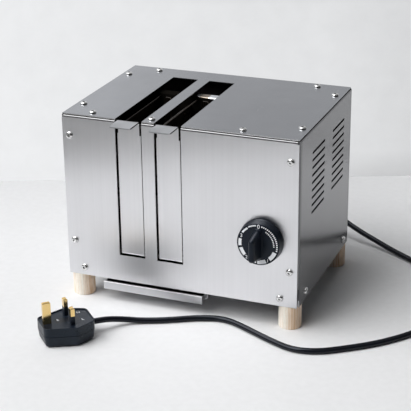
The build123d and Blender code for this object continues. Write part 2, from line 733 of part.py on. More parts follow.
def door(x):
    """A drop-down door: curled round its pin below, with a finger tab folded out above."""
    middle = FRONT + DOOR_RECESS + DOOR_GAUGE / 2
    tab_z = SHELF - DOOR_GAUGE / 2
    line = [(middle, HINGE_Z), (middle, tab_z), (FRONT - TAB_REACH, tab_z)]
    strip = folded(line, DOOR_GAUGE, BEND)
    curl = Circle(CURL_RADIUS) - Circle(PIN_RADIUS + TURNING_FIT)
    curl -= curl_opening()
    panel = along_x(strip + Pos(HINGE_Y, HINGE_Z) * curl, x - DOOR_WIDTH / 2, x + DOOR_WIDTH / 2)
    half = DOOR_WIDTH / 2
    neck = block(x + NECK_WIDTH / 2, x + half + 1, FRONT, HINGE_Y, SHELF - NECK_LENGTH, SHELF + 1)
    tab = tab_trim(x)
    for cutter in (neck, tab):
        panel -= [cutter, mirror(cutter, Plane.YZ.offset(x))]
    return panel


def curl_opening():
    """The sector of the door's curl, behind and above the pin, that the curled end leaves open."""
    span = 360 - CURL_ANGLE
    reach = 2 * CURL_RADIUS
    points = [(0, 0)]
    for angle in (180 - span, 180 - span / 2, 180 - 4):
        turn = math.radians(angle)
        points.append((reach * math.cos(turn), reach * math.sin(turn)))
    opening = make_face(Polyline(*points, close=True))
    wall = Pos(-CURL_RADIUS, CURL_RADIUS) * Rectangle(2 * DOOR_GAUGE, 2 * CURL_RADIUS)
    return opening - wall


def tab_trim(x):
    """What is cut from the right of the finger tab to narrow it and round its corner."""
    half = TAB_WIDTH / 2
    tip = FRONT - TAB_REACH
    outline = RectangleRounded(TAB_WIDTH, 2 * TAB_REACH, TAB_CORNER)
    strip = Pos(half, -TAB_REACH / 2) * Rectangle(DOOR_WIDTH, 2 * TAB_REACH)
    waste = strip - outline
    cutter = extrude(waste, 3 * BEND)
    trimmed = Pos(x, tip + TAB_REACH, SHELF - 2 * BEND) * cutter
    return trimmed & block(x, x + DOOR_WIDTH, tip - 1, FRONT, SHELF - 3 * BEND, SHELF + BEND)


def cradle(x):
    """A folded strip that carries the slice: a leg on the door, a pierced floor and an upright."""
    leg_y = FRONT + DOOR_RECESS + DOOR_GAUGE + CRADLE_GAUGE / 2
    floor_z = CRADLE_FLOOR + CRADLE_GAUGE / 2
    points = [
        (leg_y, CRADLE_FLOOR + CRADLE_LEG),
        (leg_y, floor_z),
        (UPRIGHT_Y, floor_z),
        (UPRIGHT_Y, UPRIGHT_TOP),
    ]
    half = CRADLE_WIDTH / 2
    strip = along_x(folded(points, CRADLE_GAUGE, CRADLE_BEND), x - half, x + half)
    waste = upright_waste(x)
    strip -= [waste, mirror(waste, Plane.YZ.offset(x))]
    hole = SlotOverall(CRUMB_HOLE_LENGTH, CRUMB_HOLE_WIDTH)
    pitch = (UPRIGHT_Y - leg_y) / (CRUMB_HOLES + 1)
    for i in range(1, CRUMB_HOLES + 1):
        strip -= Pos(x, leg_y + i * pitch, floor_z) * extrude(hole, CRADLE_GAUGE, both=True)
    return strip


def upright_waste(x):
    """What is cut from the right of the cradle's upright to taper it to its finger width."""
    wide = CRADLE_WIDTH / 2 + 1
    slim = UPRIGHT_WIDTH / 2
    shoulder = CRADLE_FLOOR + CRADLE_BEND + 4
    points = [
        (wide, shoulder),
        (CRADLE_WIDTH / 2, shoulder),
        (slim, shoulder + 2 * CRADLE_WIDTH / 2),
        (slim, UPRIGHT_TOP - slim / 2),
        (slim / 2, UPRIGHT_TOP + 0.01),
        (wide, UPRIGHT_TOP + 1),
    ]
    outline = Pos(x, 0) * make_face(Polyline(*points, close=True))
    return along_y(outline, UPRIGHT_Y - CRADLE_GAUGE, UPRIGHT_Y + CRADLE_GAUGE)


def hinge_pin(x):
    """A hinge pin with a head at each end, outside the lugs."""
    reach = DOOR_WIDTH / 2 + SLIDING_FIT + SHEET + TURNING_FIT
    pin = bar((x - reach, HINGE_Y, HINGE_Z), (x + reach, HINGE_Y, HINGE_Z), PIN_RADIUS)
    for side in (-1, 1):
        start = (x + side * reach, HINGE_Y, HINGE_Z)
        end = (x + side * (reach + PIN_HEAD), HINGE_Y, HINGE_Z)
        pin += bar(start, end, PIN_RADIUS + PIN_HEAD_EDGE)
    return pin


# ---- Crumb tray ------------------------------------------------------------------------


def crumb_tray():
    """A shallow folded pan with a back wall, and a lip across the front that hangs below it."""
    wall = TRAY_WIDTH / 2 - TRAY_GAUGE / 2
    wall_top = BASE - TRAY_WALL_DROP
    floor = TRAY_BASE + TRAY_GAUGE / 2
    points = [(-wall, wall_top), (-wall, floor), (wall, floor), (wall, wall_top)]
    back = FRONT + TRAY_LENGTH
    pan = along_y(folded(points, TRAY_GAUGE, TRAY_BEND), FRONT + TRAY_GAUGE, back)
    end = Pos(0, (TRAY_BASE + wall_top) / 2) * Rectangle(2 * wall, wall_top - TRAY_BASE)
    end = fillet(end.vertices().group_by(Axis.Y)[0], TRAY_BEND)
    pan += along_y(end, back - TRAY_GAUGE, back)
    lip_middle = BASE - TRAY_LIP_DROP - TRAY_LIP_HEIGHT / 2
    lip = Pos(0, lip_middle) * Rectangle(TRAY_WIDTH, TRAY_LIP_HEIGHT)
    pan += along_y(lip, FRONT, FRONT + TRAY_GAUGE)
    return Pos(SLOT_PAIR_X, 0, 0) * pan


def tray_runner(side):
    """A folded runner below the base, with a ledge that one edge of the tray slides along."""
    web = RUNNER_WEB + RUNNER_GAUGE / 2
    floor = RUNNER_FLOOR + RUNNER_GAUGE / 2
    roof = BASE - RUNNER_GAUGE / 2
    points = [(web + RUNNER_FOOT, roof), (web, roof), (web, floor), (web - RUNNER_LEDGE, floor)]
    section = folded([(side * x, z) for x, z in points], RUNNER_GAUGE, BASE_BEND)
    start = FRONT + RUNNER_SETBACK
    return Pos(SLOT_PAIR_X, 0, 0) * along_y(section, start, start + RUNNER_LENGTH)


# ---- Timer, shaft and knob -------------------------------------------------------------


def timer_screw_places():
    """Where the timer's two screws stand, under the knob's skirt."""
    half = TIMER_SCREW_SPACING / 2
    return [Pos(KNOB_X + side * half, FRONT, KNOB_Z) * Rot(90, 0, 0) for side in (-1, 1)]


def timer_plate():
    """The timer's mounting plate, against the back of the front panel."""
    outline = RectangleRounded(TIMER_PLATE_WIDTH, TIMER_PLATE_HEIGHT, TIMER_CORNER)
    outline = Pos(KNOB_X, KNOB_Z) * (outline - Circle(SHAFT_HOLE))
    plate = along_y(outline, TIMER_FRONT, TIMER_FRONT + TIMER_PLATE_GAUGE)
    return plate - screw_holes(timer_screw_places())


def timer_case():
    """The clockwork's moulded case, bored for the shaft and the two screws."""
    start = TIMER_FRONT + TIMER_PLATE_GAUGE
    outline = Pos(KNOB_X, KNOB_Z) * RectangleRounded(TIMER_SIZE, TIMER_SIZE, TIMER_CORNER)
    case = along_y(outline, start, start + TIMER_DEPTH)
    case = chamfer(case.faces().sort_by(Axis.Y)[-1].edges(), 1.5)
    bore = Pos(KNOB_X, KNOB_Z) * Circle(SHAFT_RADIUS + TURNING_FIT)
    case -= along_y(bore, start - 1, start + SHAFT_IN_TIMER + 2 * SLIDING_FIT)
    return case - screw_holes(timer_screw_places(), TIMER_SCREW_LENGTH + 1)


def timer_terminals():
    """Blade terminals in the back of the timer."""
    start = TIMER_FRONT + TIMER_PLATE_GAUGE + TIMER_DEPTH
    blades = []
    for i in (-1, 0, 1):
        x = KNOB_X + i * BLADE_SPACING
        blade = Pos(x, KNOB_Z) * Rectangle(BLADE_GAUGE, BLADE_WIDTH)
        blades.append(along_y(blade, start, start + BLADE_LENGTH))
    return blades


def shaft_section(extra=0.0):
    """The timer shaft's section: round with one flat, grown all round by extra."""
    radius = SHAFT_RADIUS + extra
    return Circle(radius) - Pos(0, SHAFT_FLAT + extra + radius) * Rectangle(4 * radius, 2 * radius)


def timer_shaft():
    """The shaft that joins the knob to the clockwork, flatted where the knob grips it."""
    start = SKIRT_Y - SHAFT_IN_KNOB
    joint = FRONT - KNOB_GAP
    end = TIMER_FRONT + TIMER_PLATE_GAUGE + SHAFT_IN_TIMER
    place = Pos(KNOB_X, KNOB_Z)
    flatted = along_y(place * shaft_section(), start, joint)
    return flatted + along_y(place * Circle(SHAFT_RADIUS), joint, end)


def knob():
    """The timer knob: a hollow skirt with a tapered fin standing across its face."""
    body = revolve(Plane.XZ * skirt_section(), Axis.Z) + finger_grip()
    body -= extrude(shaft_section(LOOSE_FIT), SHAFT_IN_KNOB + SLIDING_FIT)
    return Pos(KNOB_X, SKIRT_Y, KNOB_Z) * Rot(90, 0, 0) * body


def finger_grip():
    """The fin that the fingers hold, narrower and shorter at its rounded tip."""
    root = Pos(0, 0, SKIRT_DEPTH - 0.5) * Rot(0, 0, 90) * SlotOverall(GRIP_LENGTH, GRIP_WIDTH)
    tip_place = Pos(0, GRIP_TIP_RISE, SKIRT_DEPTH + GRIP_HEIGHT)
    tip = tip_place * Rot(0, 0, 90) * SlotOverall(GRIP_TIP_LENGTH, GRIP_TIP_WIDTH)
    fin = loft([root, tip])
    return fillet(fin.edges().group_by(Axis.Z)[-1], GRIP_ROUND)


def skirt_section():
    """The skirt's half section in (radius, height), hollow at the back round a hub."""
    wall = SKIRT_WALL
    roof = SKIRT_DEPTH - wall
    points = [
        (0, 0.6),
        (HUB_RADIUS, 0.6),
        (HUB_RADIUS, roof),
        (SKIRT_FACE_RADIUS - wall, roof),
        (SKIRT_RADIUS - wall, 0),
        (SKIRT_RADIUS, 0),
        (SKIRT_FACE_RADIUS, SKIRT_DEPTH),
        (0, SKIRT_DEPTH),
    ]
    section = make_face(Polyline(*points, close=True))
    shoulder = section.vertices().sort_by_distance((SKIRT_FACE_RADIUS, SKIRT_DEPTH, 0))[0]
    return fillet(shoulder, SKIRT_SHOULDER)


# ---- Wiring, strain relief, cord and plug ----------------------------------------------


def terminal_block():
    """A three-way terminal block on the base plate."""
    length, width, height = BLOCK_SIZE
    y = BACK - BLOCK_INSET
    body = Pos(BLOCK_X, y, FRAME_BASE) * extrude(RectangleRounded(length, width, 2), height)
    for i in range(BLOCK_WAYS):
        x = BLOCK_X + (i - (BLOCK_WAYS - 1) / 2) * BLOCK_WAY_PITCH
        z = FRAME_BASE + height / 2
        body -= bar((x, y + width / 2 + 1, z), (x, y + width / 2 - 5, z), BLOCK_BORE)
        body -= bar((x, y - width / 2 - 1, z), (x, y - width / 2 + 5, z), BLOCK_BORE)
    return body


def strain_relief():
    """The moulded strain relief in the rear panel, ringed and tapering to the cord."""
    outer = RELIEF_COLLAR_RADIUS
    neck = RELIEF_NECK_RADIUS
    low = -SHEET - RELIEF_COLLAR
    points = [(0, low), (outer, low), (outer, -SHEET), (neck, -SHEET)]
    points += [(neck, 0), (outer, 0), (outer, RELIEF_COLLAR)]
    step = RELIEF_LENGTH / (2 * RELIEF_RINGS)
    for i in range(2 * RELIEF_RINGS + 1):
        share = i / (2 * RELIEF_RINGS)
        radius = neck + (RELIEF_TIP_RADIUS - neck) * share
        groove = 0.7 if i % 2 else 0.0
        points.append((radius - groove, RELIEF_COLLAR + i * step))
    points.append((0, RELIEF_COLLAR + RELIEF_LENGTH))
    body = revolve(Plane.XZ * make_face(Polyline(*points, close=True)), Axis.Z)
    return Pos(RELIEF_X, BACK, RELIEF_Z) * Rot(-90, 0, 0) * body


def block_way(i, front):
    """Where a lead enters way i of the terminal block, at its front or its back."""
    length, width, height = BLOCK_SIZE
    x = BLOCK_X + (i - (BLOCK_WAYS - 1) / 2) * BLOCK_WAY_PITCH
    y = BACK - BLOCK_INSET + (-1 if front else 1) * (width / 2 - 4)
    return (x, y, FRAME_BASE + height / 2)


def supply_leads():
    """The cord's three leads, from the strain relief to the back of the terminal block."""
    leads = []
    for i in range(BLOCK_WAYS):
        x, y, z = block_way(i, front=False)
        start_y = BACK - SHEET - RELIEF_COLLAR
        start_x = RELIEF_X + (i - (BLOCK_WAYS - 1) / 2) * 3.4
        points = [(start_x, start_y, RELIEF_Z), (start_x, start_y - 5, RELIEF_Z)]
        points += [(x, y + 6, z), (x, y, z)]
        leads.append(tube(points, LEAD_RADIUS, [2.0, 2.0]))
    return leads


def switch_leads():
    """Leads from the terminal block to the timer, and from the timer to the first element."""
    blade_y = TIMER_FRONT + TIMER_PLATE_GAUGE + TIMER_DEPTH + BLADE_LENGTH
    leads = []
    x, y, z = block_way(2, front=True)
    end_x = KNOB_X + BLADE_SPACING
    points = [(x, y, z), (x, y - 14, z), (end_x, blade_y + 14, KNOB_Z), (end_x, blade_y, KNOB_Z)]
    leads.append(tube(points, LEAD_RADIUS, [6.0, 6.0]))
    tip = BOARD_CENTRES[-1] + BOARD_GAUGE / 2 + TERMINAL_HEAD
    start_x = KNOB_X - BLADE_SPACING
    level = terminal_levels()[0]
    points = [(tip, TERMINAL_Y, level), (tip + 22, TERMINAL_Y, level)]
    points += [(start_x, blade_y + 16, KNOB_Z), (start_x, blade_y, KNOB_Z)]
    leads.append(tube(points, LEAD_RADIUS, [6.0, 6.0]))
    return leads


def power_cord():
    """The supply cord's outer sheath along its route."""
    return tube(CORD_ROUTE, CORD_DIAMETER / 2, corner_radii(CORD_ROUTE))


def plug_outline():
    """The plug's outline: widest at the line pins and narrower at both ends."""
    half = [(PLUG_END, PLUG_EARTH_SIDE), (PLUG_WAIST, -2.0), (PLUG_END, -PLUG_CORD_SIDE)]
    points = half + [(-x, y) for x, y in reversed(half)]
    return fillet(make_face(Polyline(*points, close=True)).vertices(), PLUG_CORNER)


def place_plug(solid):
    """Moves a piece of the plug from its own frame to where the plug lies."""
    return Pos(PLUG_PLACE[0], PLUG_PLACE[1], 0) * Rot(0, 0, PLUG_TURN) * solid


def line_pin_spots():
    """The line and neutral pins' middles."""
    return [(-PIN_PITCH / 2, 0), (PIN_PITCH / 2, 0)]


def pin_pocket(spot, size):
    """A pocket in the plug's face for a pin's root."""
    width, depth = size[0] + 2 * TURNING_FIT, size[1] + 2 * TURNING_FIT
    middle = PLUG_THICKNESS - PIN_ROOT / 2 + 0.5
    return Pos(spot[0], spot[1], middle) * Box(width, depth, PIN_ROOT + 1)


def plug_base():
    """The half of the plug that holds the pins and the fuse carrier inside a raised rim."""
    height = PLUG_THICKNESS + PLUG_RIM_RISE - PLUG_SEAM
    body = Pos(0, 0, PLUG_SEAM) * extrude(plug_outline(), height)
    body = fillet(body.edges().group_by(Axis.Z)[-1], PLUG_RIM / 3)
    body -= Pos(0, 0, PLUG_THICKNESS) * extrude(offset(plug_outline(), -PLUG_RIM), PLUG_RIM_RISE)
    for spot in line_pin_spots():
        body -= pin_pocket(spot, LINE_PIN)
    body -= pin_pocket((0, PIN_PITCH), EARTH_PIN)
    width, length, depth = (s + 2 * LOOSE_FIT for s in CARRIER_SIZE)
    body -= Pos(0, 2, PLUG_THICKNESS) * Box(width, length, 2 * depth)
    return place_plug(body)


def plug_cover():
    """The plug's back half, grooved at the seam and drawn in to a rounded back."""
    back = offset(plug_outline(), -PLUG_DRAFT)
    body = loft([back, Pos(0, 0, PLUG_SEAM - PLUG_GROOVE) * plug_outline()])
    body = fillet(body.edges().group_by(Axis.Z)[0], PLUG_BACK_ROUND)
    lip = offset(plug_outline(), -PLUG_GROOVE)
    body += Pos(0, 0, PLUG_SEAM - PLUG_GROOVE) * extrude(lip, PLUG_GROOVE)
    return place_plug(body)


def fuse_carrier():
    """The flush carrier in the plug's face that holds the fuse."""
    width, length, depth = CARRIER_SIZE
    body = Pos(0, 2, PLUG_THICKNESS - depth / 2 - LOOSE_FIT / 2) * Box(width, length, depth)
    pull = Pos(0, -length / 4 + 2, PLUG_THICKNESS) * Box(width - 3, 2, 1.6)
    return place_plug(body - pull)


def pin(spot, size):
    """A rectangular pin with a chamfered tip, its root in the plug."""
    width, depth, height = size
    low = PLUG_THICKNESS - PIN_ROOT
    middle = (low + PLUG_THICKNESS + height) / 2
    body = Pos(spot[0], spot[1], middle) * Box(width, depth, PIN_ROOT + height)
    return chamfer(body.edges().group_by(Axis.Z)[-1], PIN_TIP_CHAMFER)


def line_pins():
    """The line and neutral pins, waisted where their sleeves sit."""
    width, depth, height = LINE_PIN
    pins = []
    for spot in line_pin_spots():
        ring = sleeve(spot, TURNING_FIT)
        pins.append(place_plug(pin(spot, LINE_PIN) - ring))
    return pins


def sleeve(spot, grow=0.0):
    """The insulating sleeve round a line pin, flush with the pin's faces."""
    width, depth, height = LINE_PIN
    inner = Rectangle(width - 2 * SLEEVE_WALL - 2 * grow, depth - 2 * SLEEVE_WALL - 2 * grow)
    outer = Rectangle(width + 4 * grow, depth + 4 * grow)
    ring = extrude(outer - inner, SLEEVE_LENGTH + grow)
    return Pos(spot[0], spot[1], PLUG_THICKNESS) * ring


def pin_sleeves():
    """Both insulating sleeves."""
    return [place_plug(sleeve(spot)) for spot in line_pin_spots()]


# ---- Assembly --------------------------------------------------------------------------


def placed(piece, places):
    """One copy of a piece at each place."""
    return [place * piece for place in places]


def body_nodes():
    """Panels, feet and the screws that hold them."""
    right = side_panel()
    nodes = {
        "front_panel": front_panel(),
        "rear_panel": rear_panel(),
        "left_side_panel": mirror(right, Plane.YZ),
        "right_side_panel": right,
        "top_plate": top_plate(),
        "base_plate": base_plate(),
        "top_screws": placed(button_screw(), top_screw_places()),
        "front_screws": placed(button_screw(), front_screw_places()),
        "rear_screws": placed(button_screw(), rear_screw_places()),
        "side_screws": placed(button_screw(), side_screw_places()),
    }
    grip = 2 * SHEET
    stacks = top_screw_places() + front_screw_places() + rear_screw_places() + side_screw_places()
    nodes["panel_nuts"] = nuts_under(stacks, grip)
    for name, (x, y) in foot_places().items():
        nodes[f"{name}_foot"] = foot(x, y)
    foot_screw = button_screw(FOOT_SCREW_LENGTH)
    nodes["foot_screws"] = [Pos(x, y, FRAME_BASE) * foot_screw for x, y in foot_places().values()]
    return nodes


def chamber_nodes():
    """The element frame, the elements and the two doors with their cradles."""
    nodes = {
        "front_frame_plate": front_frame_plate(),
        "rear_frame_plate": rear_frame_plate(),
        "left_heat_shield": heat_shield(FRAME_LEFT + SHEET, -1),
        "right_heat_shield": heat_shield(FRAME_RIGHT - SHEET, 1),
        "frame_screws": placed(button_screw(), frame_screw_places()),
        "frame_nuts": nuts_under(frame_screw_places(), 2 * SHEET),
        "element_terminals": element_terminals(),
        "element_links": element_links(),
    }
    for name, x in zip(("left", "centre", "right"), BOARD_CENTRES):
        nodes[f"{name}_element_board"] = element_board(x)
        nodes[f"{name}_element_ribbon"] = element_ribbon(x)
    for name, x in SLOT_CENTRES.items():
        nodes[f"{name}_guard_wires"] = guard_wires(x)
        nodes[f"{name}_door"] = door(x)
        nodes[f"{name}_cradle"] = cradle(x)
        nodes[f"{name}_hinge_pin"] = hinge_pin(x)
    return nodes


def control_nodes():
    """The crumb tray with its runners, and the timer with its knob."""
    return {
        "crumb_tray": crumb_tray(),
        "left_tray_runner": tray_runner(-1),
        "right_tray_runner": tray_runner(1),
        "timer_plate": timer_plate(),
        "timer_case": timer_case(),
        "timer_screws": placed(button_screw(TIMER_SCREW_LENGTH), timer_screw_places()),
        "timer_terminals": timer_terminals(),
        "timer_shaft": timer_shaft(),
        "knob": knob(),
    }


def supply_nodes():
    """The wiring, the cord and the plug."""
    return {
        "terminal_block": terminal_block(),
        "supply_leads": supply_leads(),
        "switch_leads": switch_leads(),
        "strain_relief": strain_relief(),
        "power_cord": power_cord(),
        "plug_base": plug_base(),
        "plug_cover": plug_cover(),
        "fuse_carrier": fuse_carrier(),
        "earth_pin": place_plug(pin((0, PIN_PITCH), EARTH_PIN)),
        "line_pins": line_pins(),
        "pin_sleeves": pin_sleeves(),
    }


def write_part():
    """Builds every node and writes one STEP file for each."""
    os.makedirs("parts", exist_ok=True)
    nodes = {**body_nodes(), **chamber_nodes(), **control_nodes(), **supply_nodes()}
    for name, shape in nodes.items():
        if isinstance(shape, list):
            shape = Compound(children=[solid for piece in shape for solid in piece.solids()])
        export_step(shape, f"parts/{name}.step")
    report_cord(nodes["power_cord"])
    print(len(nodes), "nodes")


def report_cord(cord):
    """Prints the cord's bend radii, and its volume beside its section times its length."""
    radii = corner_radii(CORD_ROUTE)
    length = FilletPolyline(*CORD_ROUTE, radius=radii).length
    section = math.pi * (CORD_DIAMETER / 2) ** 2
    print("cord radii", [round(r, 1) for r in radii])
    ratio = cord.volume / (section * length)
    print("cord length", round(length, 1), "volume ratio", round(ratio, 5))


write_part()
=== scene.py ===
"""The looks of the drop side toaster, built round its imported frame.

Each sub-assembly is a class that holds its sizes in metres, models its pieces and
dresses them. A piece stands where the frame has it, and rides on a body by name.
"""

import json
import logging
import math
from contextlib import contextmanager
from dataclasses import dataclass
from enum import Enum
from functools import cache, partialmethod
from typing import Callable, Iterator

import bmesh
import bpy
from mathutils import Matrix, Vector


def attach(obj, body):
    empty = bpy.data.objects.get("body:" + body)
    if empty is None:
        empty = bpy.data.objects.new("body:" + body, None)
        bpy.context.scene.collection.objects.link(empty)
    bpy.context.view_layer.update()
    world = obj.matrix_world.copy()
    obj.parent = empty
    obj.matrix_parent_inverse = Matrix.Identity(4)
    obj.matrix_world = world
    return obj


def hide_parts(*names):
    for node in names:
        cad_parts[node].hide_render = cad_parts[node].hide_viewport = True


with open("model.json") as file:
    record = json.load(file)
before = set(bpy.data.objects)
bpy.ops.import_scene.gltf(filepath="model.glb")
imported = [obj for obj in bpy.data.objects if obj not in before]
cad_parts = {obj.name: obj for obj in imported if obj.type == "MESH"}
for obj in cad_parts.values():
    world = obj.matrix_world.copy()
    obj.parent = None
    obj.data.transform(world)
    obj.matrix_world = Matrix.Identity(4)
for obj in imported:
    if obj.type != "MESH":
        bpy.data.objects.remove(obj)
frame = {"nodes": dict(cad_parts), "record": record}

LOG = logging.getLogger("toaster")
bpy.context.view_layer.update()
SAME_PLACE = 1e-7
LETTER_DEPTH = 0.01
LETTER_WEIGHT = 0.004
SOFT_EDGE = 0.0002
HEAT_HEIGHTS = (0.06, 0.16)
HEAT_RAGGED = 0.06
HEAT_SCALE = 60.0
CLOUD_SCALE = 9.0
WEAR_GRAIN = 11.0

Piece = bpy.types.Object
Material = bpy.types.Material
Node = bpy.types.Node
Nodes = bpy.types.NodeTree
Socket = bpy.types.NodeSocket
Colour = tuple[float, float, float]
Point = tuple[float, float, float]
Spot = tuple[float, float]
Four = tuple[float, float, float, float]


# ---- Working on a mesh ----


def put_down() -> None:
    """Leaves edit mode and selects nothing."""
    if bpy.context.mode != "OBJECT":
        bpy.ops.object.mode_set(mode="OBJECT")
    bpy.ops.object.select_all(action="DESELECT")


def take(*pieces: Piece) -> None:
    """Makes these objects the only selected ones, the first of them active.

    Args:
        pieces: the objects to work on.
    """
    put_down()
    for piece in pieces:
        piece.select_set(True)
    bpy.context.view_layer.objects.active = pieces[0]


def new_piece(name: str) -> Piece:
    """Names the primitive that was just added.

    Args:
        name: the piece's name.

    Returns:
        The active object, with its place in its mesh.
    """
    piece = bpy.context.active_object
    piece.name = name
    piece.data.name = name
    settle(piece)
    return piece


def settle(piece: Piece) -> None:
    """Moves an object's place, turn and scale into its mesh."""
    take(piece)
    bpy.ops.object.transform_apply(location=True, rotation=True, scale=True)


def modified(piece: Piece, kind: str, **values: object) -> Piece:
    """Adds a modifier and applies it.

    Args:
        piece: the object to change.
        kind: Blender's name for the modifier.
        values: the modifier's settings.

    Returns:
        The same object.
    """
    modifier = piece.modifiers.new(kind.title(), kind)
    for name, value in values.items():
        setattr(modifier, name, value)
    take(piece)
    bpy.ops.object.modifier_apply(modifier=modifier.name)
    return piece


def cut(piece: Piece, tool: Piece, operation: str = "DIFFERENCE") -> Piece:
    """Cuts a tool out of a piece, or joins it on, and throws the tool away.

    Args:
        piece: the object that stays.
        tool: the object that is used up.
        operation: DIFFERENCE, UNION or INTERSECT.

    Returns:
        The same object.
    """
    modified(piece, "BOOLEAN", object=tool, operation=operation, solver="EXACT")
    bpy.data.objects.remove(tool)
    return piece


def copied(piece: Piece, name: str) -> Piece:
    """Copies a piece with a mesh of its own.

    Args:
        piece: the object to copy.
        name: the copy's name.

    Returns:
        The copy.
    """
    take(piece)
    bpy.ops.object.duplicate(linked=False)
    twin = bpy.context.active_object
    twin.name = name
    twin.data.name = name
    return twin


def joined(pieces: list[Piece], name: str) -> Piece:
    """Joins several objects into one mesh.

    Args:
        pieces: the objects, at least one.
        name: the joined piece's name.

    Returns:
        The first object, with the others in it.
    """
    take(*pieces)
    if len(pieces) > 1:
        bpy.ops.object.join()
    pieces[0].name = name
    pieces[0].data.name = name
    return pieces[0]


def smoothed(piece: Piece, degrees: float) -> Piece:
    """Shades a piece smooth where its faces meet at less than an angle.

    Args:
        piece: the object.
        degrees: the angle that stays sharp.

    Returns:
        The same object.
    """
    take(piece)
    bpy.ops.object.shade_smooth_by_angle(angle=math.radians(degrees))
    return modified(piece, "WEIGHTED_NORMAL", keep_sharp=True)


@contextmanager
def editing(piece: Piece) -> Iterator[None]:
    """Opens edit mode on a piece with its whole mesh selected, and closes it at the end.

    Args:
        piece: the object to work on.

    Returns:
        A context to work in, which gives nothing.
    """
    take(piece)
    bpy.ops.object.mode_set(mode="EDIT")
    bpy.ops.mesh.select_mode(type="VERT")
    bpy.ops.mesh.select_all(action="SELECT")
    yield
    bpy.ops.object.mode_set(mode="OBJECT")


def pick(piece: Piece, height: float, side: float = 0.0, middle: float = 0.0) -> None:
    """Selects the vertices at a height and nothing else.

    Args:
        piece: the object in edit mode.
        height: where the vertices are.
        side: -1 or 1 for those in front of the middle or behind it, 0 for all.
        middle: the y that parts the two sides.
    """
    bpy.ops.mesh.select_all(action="DESELECT")
    mesh = bmesh.from_edit_mesh(piece.data)
    for vertex in mesh.verts:
        wanted = not side or side * (vertex.co.y - middle) > 0.0
        if wanted and abs(vertex.co.z - height) < SAME_PLACE:
            vertex.select_set(True)
    mesh.select_flush_mode()
    bmesh.update_edit_mesh(piece.data)


def face_outwards() -> None:
    """Turns every face of the edited mesh outwards."""
    bpy.ops.mesh.select_all(action="SELECT")
    bpy.ops.mesh.normals_make_consistent(inside=False)


def raised(name: str, rings: list[Four], sides: int) -> Piece:
    """Raises a filled, round-ended outline through rings that change size and shift along Y.

    Args:
        name: the piece's name.
        rings: length, width, height and middle's y of each outline, from the lower end up.
        sides: how many sides both round ends have together.

    Returns:
        The piece, its length along Y.
    """
    length, width, height, middle = rings[0]
    put_down()
    bpy.ops.mesh.primitive_circle_add(
        vertices=sides,
        radius=width / 2,
        fill_type="NGON",
        location=(0.0, middle, height),
        rotation=(0.0, 0.0, math.pi / sides if length > width else 0.0),
    )
    piece = new_piece(name)
    straight = 0.0
    with editing(piece):
        for number, (long, wide, high, centre) in enumerate(rings):
            if number:
                rise = {"value": (0.0, centre - middle, high - height)}
                bpy.ops.mesh.extrude_region_move(TRANSFORM_OT_translate=rise)
                share = wide / width
                bpy.ops.transform.resize(value=(share, share, 1.0), center_override=(0.0, centre, high))
                straight *= share
            if long > wide:
                reach = (long - wide - straight) / 2
                for side in (-1.0, 1.0):
                    pick(piece, high, side, centre)
                    bpy.ops.transform.translate(value=(0.0, side * reach, 0.0))
                pick(piece, high)
            width, height, middle, straight = wide, high, centre, long - wide
        face_outwards()
    return piece


def turned(name: str, profile: list[Spot], sides: int) -> Piece:
    """Raises a circle through the radius and height of each step of a turned profile."""
    return raised(name, [(2 * radius, 2 * radius, height, 0.0) for radius, height in profile], sides)


def printed(name: str, text: str, height: float, rise: float, place: Point, turn: float = 0.0) -> Piece:
    """Makes flat lettering, facing up, a mesh.

    Args:
        name: the piece's name.
        text: what it says.
        height: how high its tallest letter is.
        rise: how far it stands proud.
        place: where its middle is.
        turn: its turn about the Z axis in degrees.

    Returns:
        The lettering.
    """
    put_down()
    bpy.ops.object.text_add()
    letters = bpy.context.active_object
    letters.data.body = text
    letters.data.extrude = LETTER_DEPTH
    letters.data.offset = LETTER_WEIGHT
    take(letters)
    bpy.ops.object.convert(target="MESH")
    letters = bpy.context.active_object
    share = height / letters.dimensions.y
    middle = sum((Vector(corner) for corner in letters.bound_box), Vector()) / 8
    letters.data.transform(Matrix.Translation(-middle))
    letters.scale = (share, share, rise / LETTER_DEPTH)
    letters.rotation_euler = (0.0, 0.0, math.radians(turn))
    letters.location = place
    return new_piece(name)


# ---- Node trees ----


